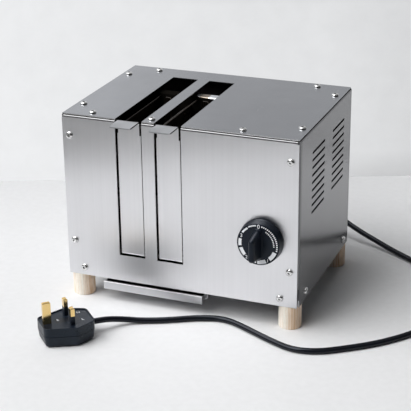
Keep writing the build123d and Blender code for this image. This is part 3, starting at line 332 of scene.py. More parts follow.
class Tree:
    """Adds and joins the nodes of one material, world or node group."""

    def __init__(self, tree: Nodes) -> None:
        """Keeps the tree to be filled."""
        self.tree = tree

    def give(self, node: Node, inputs: dict) -> None:
        """Fills a node's inputs.

        Args:
            node: the node.
            inputs: a value or an output socket for each input by name or number.
        """
        for key, value in inputs.items():
            socket = node.inputs[key]
            if isinstance(value, Socket):
                self.tree.links.new(value, socket)
            else:
                socket.default_value = (*value, 1.0) if socket.type == "RGBA" else value

    def add(self, kind: str, inputs: dict | None = None, **settings: object) -> Node:
        """Adds one node.

        Args:
            kind: the node's type without its ShaderNode prefix.
            inputs: a value or an output socket for each input by name or number.
            settings: the node's own settings.

        Returns:
            The new node.
        """
        node = self.tree.nodes.new("ShaderNode" + kind)
        for name, value in settings.items():
            setattr(node, name, value)
        self.give(node, inputs or {})
        return node

    def math(self, operation: str, first: object, second: object = 0.0) -> Socket:
        """One sum on one or two values."""
        return self.add("Math", {0: first, 1: second}, operation=operation).outputs[0]

    times = partialmethod(math, "MULTIPLY")
    plus = partialmethod(math, "ADD")
    minus = partialmethod(math, "SUBTRACT")
    most = partialmethod(math, "MAXIMUM")

    def dot(self, vector: object, way: object) -> Socket:
        """How far a vector reaches along a way."""
        return self.add("VectorMath", {0: vector, 1: way}, operation="DOT_PRODUCT").outputs["Value"]

    def along(self, vector: object, axis: str) -> Socket:
        """One of a vector's three parts."""
        return self.add("SeparateXYZ", {0: vector}).outputs[axis]

    def scaled(self, vector: object, scale: object) -> Socket:
        """Coordinates scaled axis by axis."""
        return self.add("Mapping", {"Vector": vector, "Scale": scale}).outputs[0]

    def noise(self, vector: object, scale: object, detail: float = 2.0) -> Socket:
        """Soft noise from 0 to 1."""
        return self.add("TexNoise", {"Vector": vector, "Scale": scale, "Detail": detail}).outputs["Fac"]

    def span(self, value: object, low: float, high: float, start: float = 0.0, end: float = 1.0) -> Socket:
        """Moves a value from the range start to end to the range low to high."""
        inputs = {"Value": value, 1: start, 2: end, 3: low, 4: high}
        return self.add("MapRange", inputs, clamp=True).outputs[0]

    def tinted(self, colour: object, shade: object) -> Socket:
        """A colour times a grey value."""
        return self.add("VectorMath", {0: colour, 1: shade}, operation="MULTIPLY").outputs[0]

    def mixed(self, share: object, first: object, second: object) -> Socket:
        """A mix of two colours."""
        return self.add("Mix", {0: share, 6: first, 7: second}, data_type="RGBA").outputs[2]

    def bump(self, height: object, depth: float, strength: float = 1.0) -> Socket:
        """A normal dented by a height."""
        inputs = {"Height": height, "Distance": depth, "Strength": strength}
        return self.add("Bump", inputs).outputs[0]


@dataclass(frozen=True)
class Mottle:
    """Fine and broad noise that shade a surface and change its gloss together."""

    detail: float
    broad: float
    broad_detail: float
    share: float
    shade: float
    gloss: float


class Effect(Enum):
    """A surface effect that several materials share, by its noise or its own inputs."""

    BRUSHED = Mottle(1.5, 0.16, 2.0, 0.62, 2.0, -1.0)
    HANDLED = Mottle(3.0, 46.0, 4.0, 0.65, -0.8, 1.0)
    MOULDED = Mottle(2.0, 70.0, 2.0, 0.5, 2.0, 1.0)
    HEATED = ("Amount",)
    SPREAD = ("X", "Y", "Z", "Level", "Share")


def mottled(tree: Tree, given: bpy.types.NodeOutputs, kind: Mottle) -> dict[str, Socket]:
    """Fine and broad noise: streaks, where the vector comes stretched along the grain.

    Args:
        tree: the group's tree helper.
        given: the group's inputs.
        kind: its scales and strengths.

    Returns:
        The group's outputs by name.
    """
    fine = tree.noise(given["Vector"], given["Grain"], kind.detail)
    broad = tree.noise(given["Vector"], kind.broad, kind.broad_detail)
    both = tree.plus(tree.times(fine, kind.share), tree.times(broad, 1.0 - kind.share))
    swing = tree.times(tree.minus(both, 0.5), given["Amount"])
    shade = tree.plus(tree.times(swing, kind.shade), 1.0)
    return {"Shade": shade, "Gloss": tree.times(swing, kind.gloss), "Height": fine}


def heated(tree: Tree, given: bpy.types.NodeOutputs) -> dict[str, Socket]:
    """Where steel near the elements has gone straw and brown.

    Args:
        tree: the group's tree helper.
        given: the group's inputs.

    Returns:
        The group's outputs by name.
    """
    broken = tree.times(tree.minus(tree.noise(given["Vector"], HEAT_SCALE, 3.0), 0.5), HEAT_RAGGED)
    rise = tree.span(tree.plus(tree.along(given["Vector"], "Z"), broken), 0.0, 1.0, *HEAT_HEIGHTS)
    return {"Mask": tree.times(rise, given["Amount"])}


def spread(tree: Tree, given: bpy.types.NodeOutputs) -> dict[str, Socket]:
    """Everything beyond a level along the way X, Y, Z.

    Args:
        tree: the group's tree helper.
        given: the group's inputs.

    Returns:
        The group's outputs by name.
    """
    way = tree.add("CombineXYZ", {axis: given[axis] for axis in "XYZ"}).outputs[0]
    reach = tree.minus(tree.dot(given["Vector"], way), given["Level"])
    return {"Mask": tree.times(tree.span(reach, 0.0, 1.0, 0.0, SOFT_EDGE), given["Share"])}


@cache
def effect_group(effect: Effect) -> Nodes:
    """Builds a shared effect once, when it is first wanted.

    Args:
        effect: which one.

    Returns:
        Its node group.
    """
    group = bpy.data.node_groups.new(effect.name.lower(), "ShaderNodeTree")
    group.interface.new_socket(name="Vector", in_out="INPUT", socket_type="NodeSocketVector")
    kind = effect.value
    labels = ("Grain", "Amount") if isinstance(kind, Mottle) else kind
    for label in labels:
        group.interface.new_socket(name=label, in_out="INPUT", socket_type="NodeSocketFloat")
    tree, given = Tree(group), group.nodes.new("NodeGroupInput").outputs
    if isinstance(kind, Mottle):
        made = mottled(tree, given, kind)
    else:
        made = {Effect.HEATED: heated, Effect.SPREAD: spread}[effect](tree, given)
    for label in made:
        group.interface.new_socket(name=label, in_out="OUTPUT", socket_type="NodeSocketFloat")
    tree.give(group.nodes.new("NodeGroupOutput"), made)
    return group


# ---- Finishes ----


class Grain(Enum):
    """The way a sheet was brushed."""

    ACROSS = 0
    DEEP = 1
    UPRIGHT = 2


def start_material(name: str) -> tuple[Material, Tree, Node, Socket]:
    """Starts a material with its shader.

    Args:
        name: the material's name.

    Returns:
        The material, its tree helper, its Principled node and its object coordinates.
    """
    material = bpy.data.materials.new(name)
    material.use_nodes = True
    material.node_tree.nodes.clear()
    tree = Tree(material.node_tree)
    shader = tree.add("BsdfPrincipled")
    tree.add("OutputMaterial", {"Surface": shader.outputs[0]})
    return material, tree, shader, tree.add("TexCoord").outputs["Object"]


def applied(tree: Tree, effect: Effect, vector: object, **values: float) -> bpy.types.NodeOutputs:
    """Places a shared effect in a material and gives its outputs."""
    return tree.add("Group", {"Vector": vector, **values}, node_tree=effect_group(effect)).outputs


@dataclass(frozen=True)
class Patch:
    """The part of a sheet beyond a plane that takes another colour: painted shade, a painted highlight, a
    stain, the sheet's own tone put back.
    """

    way: Point
    level: float
    # Near black by default: the colour of the painted shade lines and gaps.
    colour: Colour = (0.02, 0.018, 0.016)
    share: float = 1.0
    metal: float = 0.0


@dataclass(frozen=True)
class Steel:
    """Stainless or plated sheet and wire."""

    name: str
    colour: Colour
    roughness: float
    grain: Grain = Grain.UPRIGHT
    across: float = 2600.0
    along: float = 3.0
    contrast: float = 0.1
    cloud: float = 0.12
    dent: float = 0.000007
    heat: float = 0.0
    tint: Colour = (0.42, 0.27, 0.13)
    anisotropy: float = 0.0
    patches: tuple[Patch, ...] = ()

    def material(self) -> Material:
        """Builds the metal.

        Returns:
            The material.
        """
        material, tree, shader, place = start_material(self.name)
        scale = [self.across] * 3
        scale[self.grain.value] = self.along
        brushed = applied(tree, Effect.BRUSHED, tree.scaled(place, scale), Grain=1.0, Amount=self.contrast)
        handled = applied(tree, Effect.HANDLED, place, Grain=WEAR_GRAIN, Amount=self.cloud)
        colour, metal = self.colour, 1.0
        for patch in self.patches:
            x, y, z = patch.way
            values = {"X": x, "Y": y, "Z": z, "Level": patch.level, "Share": patch.share}
            mask = applied(tree, Effect.SPREAD, place, **values)["Mask"]
            colour = tree.mixed(mask, colour, patch.colour)
            metal = tree.plus(tree.times(metal, tree.minus(1.0, mask)), tree.times(mask, patch.metal))
        colour = tree.tinted(colour, tree.times(brushed["Shade"], handled["Shade"]))
        if self.heat:
            mask = applied(tree, Effect.HEATED, place, Amount=self.heat)["Mask"]
            colour = tree.mixed(mask, colour, self.tint)
        roughness = tree.plus(tree.plus(brushed["Gloss"], handled["Gloss"]), self.roughness)
        normal = tree.bump(brushed["Height"], self.dent)
        inputs = {"Base Color": colour, "Metallic": metal, "Roughness": roughness, "Normal": normal}
        if self.patches:
            inputs["Specular IOR Level"] = 0.0
        if self.anisotropy:
            inputs["Anisotropic"] = self.anisotropy
            inputs["Tangent"] = tree.add("Tangent", direction_type="RADIAL", axis="Z").outputs[0]
        tree.give(shader, inputs)
        return material


@dataclass(frozen=True)
class Moulding:
    """Plastic or rubber with a moulded skin."""

    name: str
    colour: Colour
    roughness: float
    grain: float = 2400.0
    amount: float = 0.25
    dent: float = 0.00001
    specular: float = 0.5
    glint: Colour = (1.0, 1.0, 1.0)

    def material(self) -> Material:
        """Builds the moulding's skin.

        Returns:
            The material.
        """
        material, tree, shader, place = start_material(self.name)
        skin = applied(tree, Effect.MOULDED, place, Grain=self.grain, Amount=self.amount)
        handled = applied(tree, Effect.HANDLED, place, Grain=WEAR_GRAIN, Amount=self.amount)
        gloss = tree.times(tree.plus(skin["Gloss"], handled["Gloss"]), 0.5)
        inputs = {
            "Base Color": tree.tinted(self.colour, skin["Shade"]),
            "Roughness": tree.plus(gloss, self.roughness),
            "Normal": tree.bump(skin["Height"], self.dent),
            "Specular IOR Level": self.specular,
            "Specular Tint": self.glint,
        }
        tree.give(shader, inputs)
        return material


@dataclass(frozen=True)
class Timber:
    """Bare turned wood with its grain along the dowel."""

    name: str = "beech"
    pale: Colour = (1.0, 0.935, 0.83)
    rosy: Colour = (1.0, 0.78, 0.6)
    dark: Colour = (0.8, 0.53, 0.29)
    slant: Point = (0.83, 0.46, 0.3)
    stretch: Point = (1.0, 1.0, 0.09)
    fleck_stretch: Point = (1.0, 1.0, 0.3)
    pitch: float = 380.0
    wander: float = 5.0
    wander_scale: float = 95.0
    fibre_scale: float = 1900.0
    fleck_scale: float = 1500.0
    # Painted shade mixed with the wood's own tone: a band fixed across x at the feet's spacing makes the
    # feet rosier and more streaked towards their edges, most at the right foot's right side.
    side_shade_every: float = 0.02775
    side_shade_at: float = -0.1
    side_shade_wander: float = 1.2
    side_shade_scale: float = 90.0
    flecked: float = 0.35
    late_span: Four = (0.0, 1.0, -0.2, 1.0)
    fleck_span: Four = (0.0, 1.0, 0.66, 0.8)
    rosy_span: Four = (0.0, 1.0, -0.6, 0.6)
    line_span: Four = (0.2, 0.95, -0.5, 0.7)
    fibre_span: Four = (0.86, 1.1, 0.25, 0.75)
    roughness: Spot = (0.5, 0.68)
    dent: float = 0.00006
    fuzz: float = 0.3

    def material(self) -> Material:
        """Builds the wood from growth rings, fibres, flecks and painted shade on the feet's sides.

        Returns:
            The material.
        """
        material, tree, shader, place = start_material(self.name)
        turn = 2.0 * math.pi
        tall = tree.scaled(place, self.stretch)
        wander = tree.times(tree.noise(tall, self.wander_scale, 3.0), self.wander)
        ring = tree.plus(tree.times(tree.dot(tall, self.slant), self.pitch), wander)
        late = tree.span(tree.math("SINE", tree.times(ring, turn)), *self.late_span)
        fibre = tree.noise(tall, self.fibre_scale, 3.0)
        speck = tree.noise(tree.scaled(place, self.fleck_stretch), self.fleck_scale, 1.0)
        fleck = tree.span(speck, *self.fleck_span)
        # The side shade below is painted shade of the feet's sides, mixed with their rosy tone.
        broad = tree.times(tree.noise(tall, self.side_shade_scale), self.side_shade_wander)
        across = tree.times(tree.minus(tree.along(place, "X"), self.side_shade_at), turn / self.side_shade_every)
        side_shade = tree.math("COSINE", tree.plus(across, tree.minus(broad, self.side_shade_wander / 2)))
        base = tree.mixed(tree.span(side_shade, *self.rosy_span), self.pale, self.rosy)
        lined = tree.mixed(tree.times(late, tree.span(side_shade, *self.line_span)), base, self.dark)
        flecked = tree.mixed(tree.times(fleck, self.flecked), lined, self.dark)
        inputs = {
            "Base Color": tree.tinted(flecked, tree.span(fibre, *self.fibre_span)),
            "Roughness": tree.span(fibre, *self.roughness),
            "Normal": tree.bump(fibre, self.dent, 0.8),
            "Sheen Weight": self.fuzz,
        }
        tree.give(shader, inputs)
        return material


@dataclass(frozen=True)
class Layered:
    """Pressed mica with its leaves and glints."""

    name: str = "mica"
    pale: Colour = (0.05, 0.04, 0.031)
    dark: Colour = (0.018, 0.014, 0.011)
    leaf_scale: float = 260.0
    cloud_scale: float = 50.0
    roughness: Spot = (0.25, 0.6)
    dent: float = 0.00005

    def material(self) -> Material:
        """Builds the board's leaves.

        Returns:
            The material.
        """
        material, tree, shader, place = start_material(self.name)
        leaves = tree.add("TexVoronoi", {"Vector": place, "Scale": self.leaf_scale}).outputs["Color"]
        leaf = tree.add("SeparateColor", {0: leaves}).outputs[0]
        share = tree.times(tree.plus(leaf, tree.noise(place, self.cloud_scale, 3.0)), 0.5)
        inputs = {
            "Base Color": tree.mixed(share, self.pale, self.dark),
            "Roughness": tree.span(leaf, *self.roughness),
            "Normal": tree.bump(leaf, self.dent, 0.7),
        }
        tree.give(shader, inputs)
        return material


Finish = Steel | Moulding | Timber | Layered

FORWARD, BACKWARD = (0.0, -1.0, 0.0), (0.0, 1.0, 0.0)
RIGHTWARD, UPWARD, DOWNWARD = (1.0, 0.0, 0.0), (0.0, 0.0, 1.0), (0.0, 0.0, -1.0)
# The side panels' tone, far darker than the front's: painted shade of the sides.
SHADED_SIDE_TONE: Colour = (0.265, 0.265, 0.272)
DOOR_TONE: Colour = (0.77, 0.77, 0.79)
FLANGE_TONE: Colour = (0.8, 0.82, 0.86)
HOT_BROWN: Colour = (0.1, 0.07, 0.05)
SOOT_BROWN: Colour = (0.04, 0.03, 0.025)
KNOB_GLINT: Colour = (0.78, 0.88, 1.0)
CORD_GLINT: Colour = (0.85, 0.9, 1.0)
PLUG_GLINT: Colour = (0.8, 0.9, 1.0)
DOOR_TAB = Patch(UPWARD, 0.1972, (0.5, 0.51, 0.53), metal=1.0)
DOOR_STRIP = Patch(DOWNWARD, -0.1844, DOOR_TONE, metal=1.0)
# Painted shade: beyond this offset from the neck the door is near black, above the strip that keeps the
# door's tone.
DOOR_EDGE = 0.0111
# Painted shade: inside this level the side panels are near black, which darkens their louvres; the bends
# keep the sides' tone.
SIDE_INSIDE_SHADE_LEVEL = -0.12499
SIDE_BENDS = ((FORWARD, 0.0702), (BACKWARD, 0.1002), (UPWARD, 0.1955))
SIDE_PAINTED_LIGHT = (
    *(Patch(way, level, SHADED_SIDE_TONE, metal=1.0) for way, level in SIDE_BENDS),
    # Painted shade: the front and rear bends are dimmed to weaken their highlights.
    Patch(FORWARD, 0.067, (0.13, 0.13, 0.135), 0.6, 1.0),
    Patch(BACKWARD, 0.0988, (0.15, 0.15, 0.155), 0.6, 1.0),
    # Painted highlight: a pale wedge on the front bend, low at the front corner.
    Patch((0.0, -1.0, -0.3), 0.0611, (0.95, 0.95, 0.97), metal=1.0),
    # Painted shade: a black wedge in front of it, the dark of the open corner's gap.
    Patch((0.0, -1.0, -0.16), 0.06768),
    # Painted shade: a dark line along the top bend, under the top plate's edge.
    Patch(UPWARD, 0.1977),
)
# Painted shade: the rear panel's inside, seen down the slots, is near black.
REAR_INSIDE_SHADE = Patch(FORWARD, -0.1042, (0.045, 0.038, 0.045))
# Painted shade on the front's top bend: dimmed to weaken its highlight, then near black under the top
# plate's edge.
FRONT_TOP_SHADE = (Patch(UPWARD, 0.1958, (0.16, 0.16, 0.165), 0.82, 1.0), Patch(UPWARD, 0.19765))
# Painted highlight: the top plate's front edge made nearly white.
TOP_EDGE_HIGHLIGHT = Patch(FORWARD, 0.07285, (0.95, 0.95, 0.96), metal=1.0)
# Painted highlight: white along the top of the tray's lip.
TRAY_RIM_HIGHLIGHT = Patch(UPWARD, 0.0201, (1.0, 1.0, 1.0), metal=1.0)
# A brown heat stain, the polished tone put back on the right, and painted shade.
FLANGE_STAINS_AND_SHADE = (
    Patch(RIGHTWARD, -0.0212, (0.22, 0.16, 0.1), 0.85, 1.0),
    Patch(RIGHTWARD, -0.0108, FLANGE_TONE, metal=1.0),
    # Painted shade: near black over the flange's left and lower part, beyond a slanted plane.
    Patch((-1.0, 0.0, -12.5), -2.398, (0.008, 0.007, 0.006)),
)


def satin(name: str, colour: Colour, *patches: Patch) -> Steel:
    """The upright satin finish of the front and its doors, with its sooted and bright parts."""
    return Steel(name, colour, 0.3, across=420.0, along=0.6, contrast=0.05, anisotropy=0.75, patches=patches)


def door_finish(name: str, middle: float) -> Steel:
    """A door's finish: darker on its tab, with painted shade on the cut edge beside its neck, above the
    strip that keeps the door's tone.
    """
    return satin(name, DOOR_TONE, DOOR_TAB, Patch(RIGHTWARD, middle + DOOR_EDGE), DOOR_STRIP)


def side_finish(name: str, side: float) -> Steel:
    """A side panel's finish: polished outside in the sides' painted-shade tone, near black inside as painted
    shade that darkens its louvres, and painted shade and highlights along its edges.
    """
    patches = (Patch((-side, 0.0, 0.0), SIDE_INSIDE_SHADE_LEVEL, (0.004, 0.004, 0.004)), *SIDE_PAINTED_LIGHT)
    return Steel(name, SHADED_SIDE_TONE, 0.2, contrast=0.06, cloud=0.06, anisotropy=0.8, patches=patches)


ACROSS, DEEP, UPRIGHT = Grain

STEELS = (
    Steel("rear_steel", (0.4, 0.4, 0.41), 0.22, contrast=0.06, cloud=0.06, patches=(REAR_INSIDE_SHADE,)),
    side_finish("left_side_steel", -1.0),
    side_finish("right_side_steel", 1.0),
    satin("front_steel", (0.755, 0.755, 0.775), *FRONT_TOP_SHADE),
    door_finish("left_door_steel", -0.0516),
    door_finish("right_door_steel", -0.01),
    Steel("top_steel", (0.375, 0.385, 0.41), 0.24, DEEP, contrast=0.06, cloud=0.2, patches=(TOP_EDGE_HIGHLIGHT,)),
    Steel("inner_steel", (0.45, 0.45, 0.46), 0.34, ACROSS, heat=0.4),
    Steel("chamber_steel", (0.05, 0.046, 0.042), 0.3, ACROSS, contrast=0.3, heat=0.8, tint=SOOT_BROWN),
    Steel("tray_steel", (0.58, 0.58, 0.6), 0.32, ACROSS, contrast=0.06, dent=0.000005, patches=(TRAY_RIM_HIGHLIGHT,)),
    Steel("cradle_steel", (0.2, 0.18, 0.16), 0.28, heat=0.85, tint=HOT_BROWN),
    Steel("screw_steel", (0.7, 0.7, 0.7), 0.12, ACROSS, 900.0, 900.0, 0.06),
    Steel("pin_steel", (0.65, 0.65, 0.65), 0.16, UPRIGHT, 900.0, 60.0, 0.08, heat=0.4),
    Steel("zinc_plate", (0.62, 0.62, 0.6), 0.36, UPRIGHT, 420.0, 420.0, 0.2, 0.3),
    Steel("flange_steel", FLANGE_TONE, 0.3, ACROSS, contrast=0.12, patches=FLANGE_STAINS_AND_SHADE),
    Steel("guard_steel", (0.07, 0.065, 0.06), 0.3, DEEP, 900.0, 60.0, heat=0.5, tint=HOT_BROWN),
    Steel("heating_ribbon", (0.2, 0.18, 0.17), 0.45, DEEP, 1200.0, 80.0, 0.2, 0.4),
    Steel("brass", (0.86, 0.62, 0.27), 0.16, UPRIGHT, 2200.0, 90.0, 0.1, 0.18),
    Steel("link_wire", (0.6, 0.58, 0.55), 0.32, DEEP, 900.0, 60.0, 0.12, 0.2),
)
MOULDINGS = (
    Moulding("knob_plastic", (0.006, 0.0085, 0.0145), 0.29, dent=0.000003, specular=0.24, glint=KNOB_GLINT),
    Moulding("timer_plastic", (0.05, 0.05, 0.05), 0.5),
    Moulding("block_plastic", (0.78, 0.78, 0.74), 0.5),
    Moulding("lead_sleeve", (0.72, 0.71, 0.67), 0.6, 1500.0),
    Moulding("relief_rubber", (0.02, 0.02, 0.021), 0.42),
    Moulding("cord_rubber", (0.004, 0.0046, 0.0075), 0.17, dent=0.000004, specular=0.27, glint=CORD_GLINT),
    Moulding("plug_plastic", (0.0075, 0.0115, 0.0195), 0.36, 1300.0, 1.3, 0.00008, 0.32, PLUG_GLINT),
    Moulding("fuse_carrier_plastic", (0.0085, 0.0105, 0.015), 0.38, specular=0.32),
    Moulding("dial_ink", (0.93, 0.95, 0.98), 0.5, 3000.0, 0.06),
)
FINISHES: dict[str, Finish] = {finish.name: finish for finish in (*STEELS, *MOULDINGS, Timber(), Layered())}

NODE_FINISHES = {
    "rear_panel": "rear_steel",
    "left_tray_runner": "tray_steel",
    "right_tray_runner": "tray_steel",
    "left_door": "left_door_steel",
    "right_door": "right_door_steel",
    "left_side_panel": "left_side_steel",
    "right_side_panel": "right_side_steel",
    "front_frame_plate": "chamber_steel",
    "rear_frame_plate": "flange_steel",
    "left_guard_wires": "chamber_steel",
    "right_guard_wires": "guard_steel",
    "left_heat_shield": "chamber_steel",
    "right_heat_shield": "chamber_steel",
}


@cache
def material_of(finish: str) -> Material:
    """A finish's material, built when it is first wanted."""
    return FINISHES[finish].material()


def dress(piece: Piece, finish: str) -> None:
    """Puts a finish on a piece.

    Args:
        piece: a new piece or a CAD node.
        finish: the finish's name.
    """
    if not piece.material_slots:
        piece.data.materials.append(None)
    for holder in piece.material_slots:
        holder.material = material_of(finish)


def dress_nodes() -> None:
    """Gives every CAD node a finish of its own, or else the finish of its slot in the record."""
    parts = frame["record"]["subparts"]
    for part in parts:
        name = part["node"]
        dress(frame["nodes"][name], NODE_FINISHES.get(name, part["material_slot"]))
    LOG.info("%d CAD nodes dressed", len(parts))


def fit(piece: Piece, finish: str, body: str, *nodes: str, slot: str | None = None) -> Piece:
    """Finishes a new piece, sets it on its body and lets it stand for its nodes.

    Args:
        piece: the finished mesh or curve.
        finish: the finish's name.
        body: the body that it rides on.
        nodes: the CAD nodes that it replaces.
        slot: the record's slot, where it isn't the finish's name; not used.

    Returns:
        The same piece.
    """
    dress(piece, finish)
    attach(piece, body)
    if nodes:
        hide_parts(*nodes)
    LOG.info("%s: %s on %s", piece.name, finish, body)
    return piece


# ---- Studio ----


@dataclass(frozen=True)
class Lamp:
    """One soft rectangular lamp."""

    name: str
    place: Point
    size: Spot
    power: float

    def hang(self, target: Point) -> None:
        """Hangs the lamp at its place.

        Args:
            target: what it faces.
        """
        data = bpy.data.lights.new(self.name, "AREA")
        data.shape = "RECTANGLE"
        data.size, data.size_y = self.size
        data.energy = self.power
        lamp = bpy.data.objects.new(self.name, data)
        bpy.context.scene.collection.objects.link(lamp)
        lamp.location = self.place
        lamp.rotation_mode = "QUATERNION"
        lamp.rotation_quaternion = (Vector(target) - Vector(self.place)).to_track_quat("-Z", "Y")


@dataclass(frozen=True)
class Paint:
    """Matt paint with a rolled relief and painted shade in the relief's hollows, clear from behind."""

    name: str
    colour: Colour
    scale: float
    relief: float
    roughness: float
    pale: float = 0.0
    dimming: float = 0.6
    clouds: Spot = (0.975, 1.02)
    # Painted shade of the relief: the same noise as the bump darkens its hollows.
    relief_shade: Four = (0.975, 1.012, 0.3, 0.7)

    def material(self, tone: Callable[[Tree, Socket], Socket]) -> Material:
        """Builds the paint.

        Args:
            tone: paints light and shade on the share of it that glows its plain tone to the camera and to
                reflections.

        Returns:
            The material.
        """
        material, tree, shader, place = start_material(self.name)
        patchy = tree.span(tree.noise(place, CLOUD_SCALE, 3.0), *self.clouds)
        # Random clouds of tone, times painted shade in the relief's hollows.
        shade = tree.times(patchy, tree.span(tree.noise(place, self.scale, 3.0), *self.relief_shade))
        inputs = {
            "Base Color": tree.tinted(self.colour, tree.times(shade, 1.0 - self.dimming * self.pale)),
            "Roughness": self.roughness,
            "Normal": tree.bump(tree.noise(place, self.scale, 4.0), self.relief),
        }
        tree.give(shader, inputs)
        front = shader.outputs[0]
        if self.pale:
            rays = tree.add("LightPath").outputs
            mirrored = tree.most(rays["Is Glossy Ray"], rays["Is Transmission Ray"])
            seen = tree.times(tree.most(rays["Is Camera Ray"], mirrored), self.pale)
            # The glow carries the painted light and shade of the tone.
            painted_glow = tree.tinted(self.colour, tree.times(shade, tone(tree, place)))
            glow = tree.add("Emission", {"Color": painted_glow, "Strength": 1.0}).outputs[0]
            front = tree.add("MixShader", {0: seen, 1: front, 2: glow}).outputs[0]
        behind = tree.add("NewGeometry").outputs["Backfacing"]
        clear = tree.add("BsdfTransparent").outputs[0]
        either = tree.add("MixShader", {0: behind, 1: front, 2: clear}).outputs[0]
        leave = next(node for node in material.node_tree.nodes if node.type == "OUTPUT_MATERIAL")
        tree.give(leave, {"Surface": either})
        return material


@dataclass
class Studio:
    """The camera, the pale table and wall, and the lamps."""

    camera_place: Point = (0.4720, -1.18455, 0.6127)
    camera_right: Point = (0.93051, 0.36609, -0.01162)
    camera_up: Point = (-0.12923, 0.35782, 0.92482)
    camera_back: Point = (0.34272, -0.85904, 0.38026)
    lens: float = 115.88
    film_width: float = 36.0
    bearing: float = 21.75
    wall_distance: float = 0.3068
    wall_height: float = 0.62
    wall_half: float = 1.3
    table_left: float = -0.7
    table_right: float = 1.5
    table_near: float = 0.66
    table_corner: tuple[Point, Point] = ((-0.301, -0.418, 0.0), (-0.583, -0.812, 0.0))
    table_paint: Paint = Paint("table_paint", (0.84, 0.845, 0.855), 140.0, 0.00004, 0.55)
    wall_paint: Paint = Paint("wall_paint", (0.975, 0.985, 1.0), 38.0, 0.0012, 0.8, 0.88)
    # Painted shade on the wall's glow: darker towards the right, across the upper right and low at the right
    # above the table.
    wall_shade_falls: tuple[Four, Four] = ((0.05, 0.145, -0.24, 0.12), (0.0, 0.22, 0.15, 0.4))
    high_shade_fall: tuple[Four, Four] = ((0.0, 0.21, -0.12, 0.02), (0.0, 1.0, 0.225, 0.265))
    low_shade_fall: tuple[Four, Four] = ((0.0, 0.14, 0.1, 0.2), (1.0, 0.0, 0.0, 0.035))
    lamp_target: Point = (0.0, -0.1, 0.0)
    lamps: tuple[Lamp, ...] = (
        Lamp("window", (-3.1, -2.6, 4.2), (6.2, 3.4), 296.0),
        Lamp("skylight", (-0.9, -0.9, 4.3), (2.4, 2.4), 79.0),
    )
    window_way: Point = (-0.9, -0.1, 0.25)
    sky_above: tuple[Four, Four] = ((0.01, 0.3, 0.05, 0.8), (0.3, 1.0, 0.0, 0.3))
    sky_below: tuple[Four, Four] = ((0.1, 0.335, -0.5, 0.2), (1.0, 0.0, -0.1, 0.0))
    ceiling: Four = (0.0, 0.4, 0.25, 0.8)
    world_colour: Colour = (0.83, 0.85, 0.88)

    def build(self) -> None:
        """Sets up everything round the object."""
        self.camera()
        self.table()
        self.wall()
        for lamp in self.lamps:
            lamp.hang(self.lamp_target)
        self.world()
        bpy.context.scene.view_settings.view_transform = "Standard"

    def camera(self) -> None:
        """Stands the camera at its place with its lens."""
        data = bpy.data.cameras.new("camera")
        data.sensor_width = self.film_width
        data.lens = self.lens
        data.clip_start = 0.01
        data.clip_end = 30.0
        camera = bpy.data.objects.new("camera", data)
        bpy.context.scene.collection.objects.link(camera)
        rows = zip(self.camera_right, self.camera_up, self.camera_back, self.camera_place)
        camera.matrix_world = Matrix([*[list(row) for row in rows], [0.0, 0.0, 0.0, 1.0]])
        bpy.context.scene.camera = camera

    def _backdrop(self, name: str, low: Spot, high: Spot, turn: Matrix) -> Piece:
        """Adds one flat sheet of the stage.

        Args:
            name: its name.
            low: its lowest corner in its own plane.
            high: its highest corner in its own plane.
            turn: moves it from its own plane to its place.

        Returns:
            The sheet, marked as stage.
        """
        put_down()
        bpy.ops.mesh.primitive_plane_add(size=1.0)
        sheet = new_piece(name)
        sheet.scale = (high[0] - low[0], high[1] - low[1], 1.0)
        sheet.location = ((high[0] + low[0]) / 2, (high[1] + low[1]) / 2, 0.0)
        settle(sheet)
        sheet.matrix_world = turn
        settle(sheet)
        return sheet

    def painted_wall_light(self, tree: Tree, place: Socket) -> Socket:
        """Paints light and shade on the wall: pale on the window's side, darker towards the far one and down
        to the table.

        Args:
            tree: the wall paint's tree helper.
            place: its coordinates.

        Returns:
            How pale the wall is.
        """
        turn = math.radians(self.bearing)
        across = tree.dot(place, (math.cos(turn), math.sin(turn), 0.0))
        height = tree.along(place, "Z")
        falls = [tree.span(across, *fall) for fall in self.wall_shade_falls]
        for sideways, upright in (self.high_shade_fall, self.low_shade_fall):
            falls.append(tree.times(tree.span(across, *sideways), tree.span(height, *upright)))
        tone = 1.0
        for fall in falls:
            tone = tree.minus(tone, fall)
        return tone

    def table(self) -> None:
        """Lays the white table, its back edge at the wall and its near left corner cut off."""
        turn = Matrix.Rotation(math.radians(self.bearing), 4, "Z")
        low = (self.table_left, -self.table_near)
        sheet = self._backdrop("table", low, (self.table_right, self.wall_distance), turn)
        place, away = self.table_corner
        with editing(sheet):
            bpy.ops.mesh.bisect(plane_co=place, plane_no=away, clear_outer=True)
        sheet.data.materials.append(self.table_paint.material(self.painted_wall_light))

    def wall(self) -> None:
        """Stands the wall across the camera's view."""
        turn = Matrix.Rotation(math.radians(self.bearing), 4, "Z")
        away = Matrix.Translation((0.0, self.wall_distance, 0.0))
        turn = turn @ away @ Matrix.Rotation(math.pi / 2, 4, "X")
        sheet = self._backdrop("wall", (-self.wall_half, 0.0), (self.wall_half, self.wall_height), turn)
        sheet.data.materials.append(self.wall_paint.material(self.painted_wall_light))

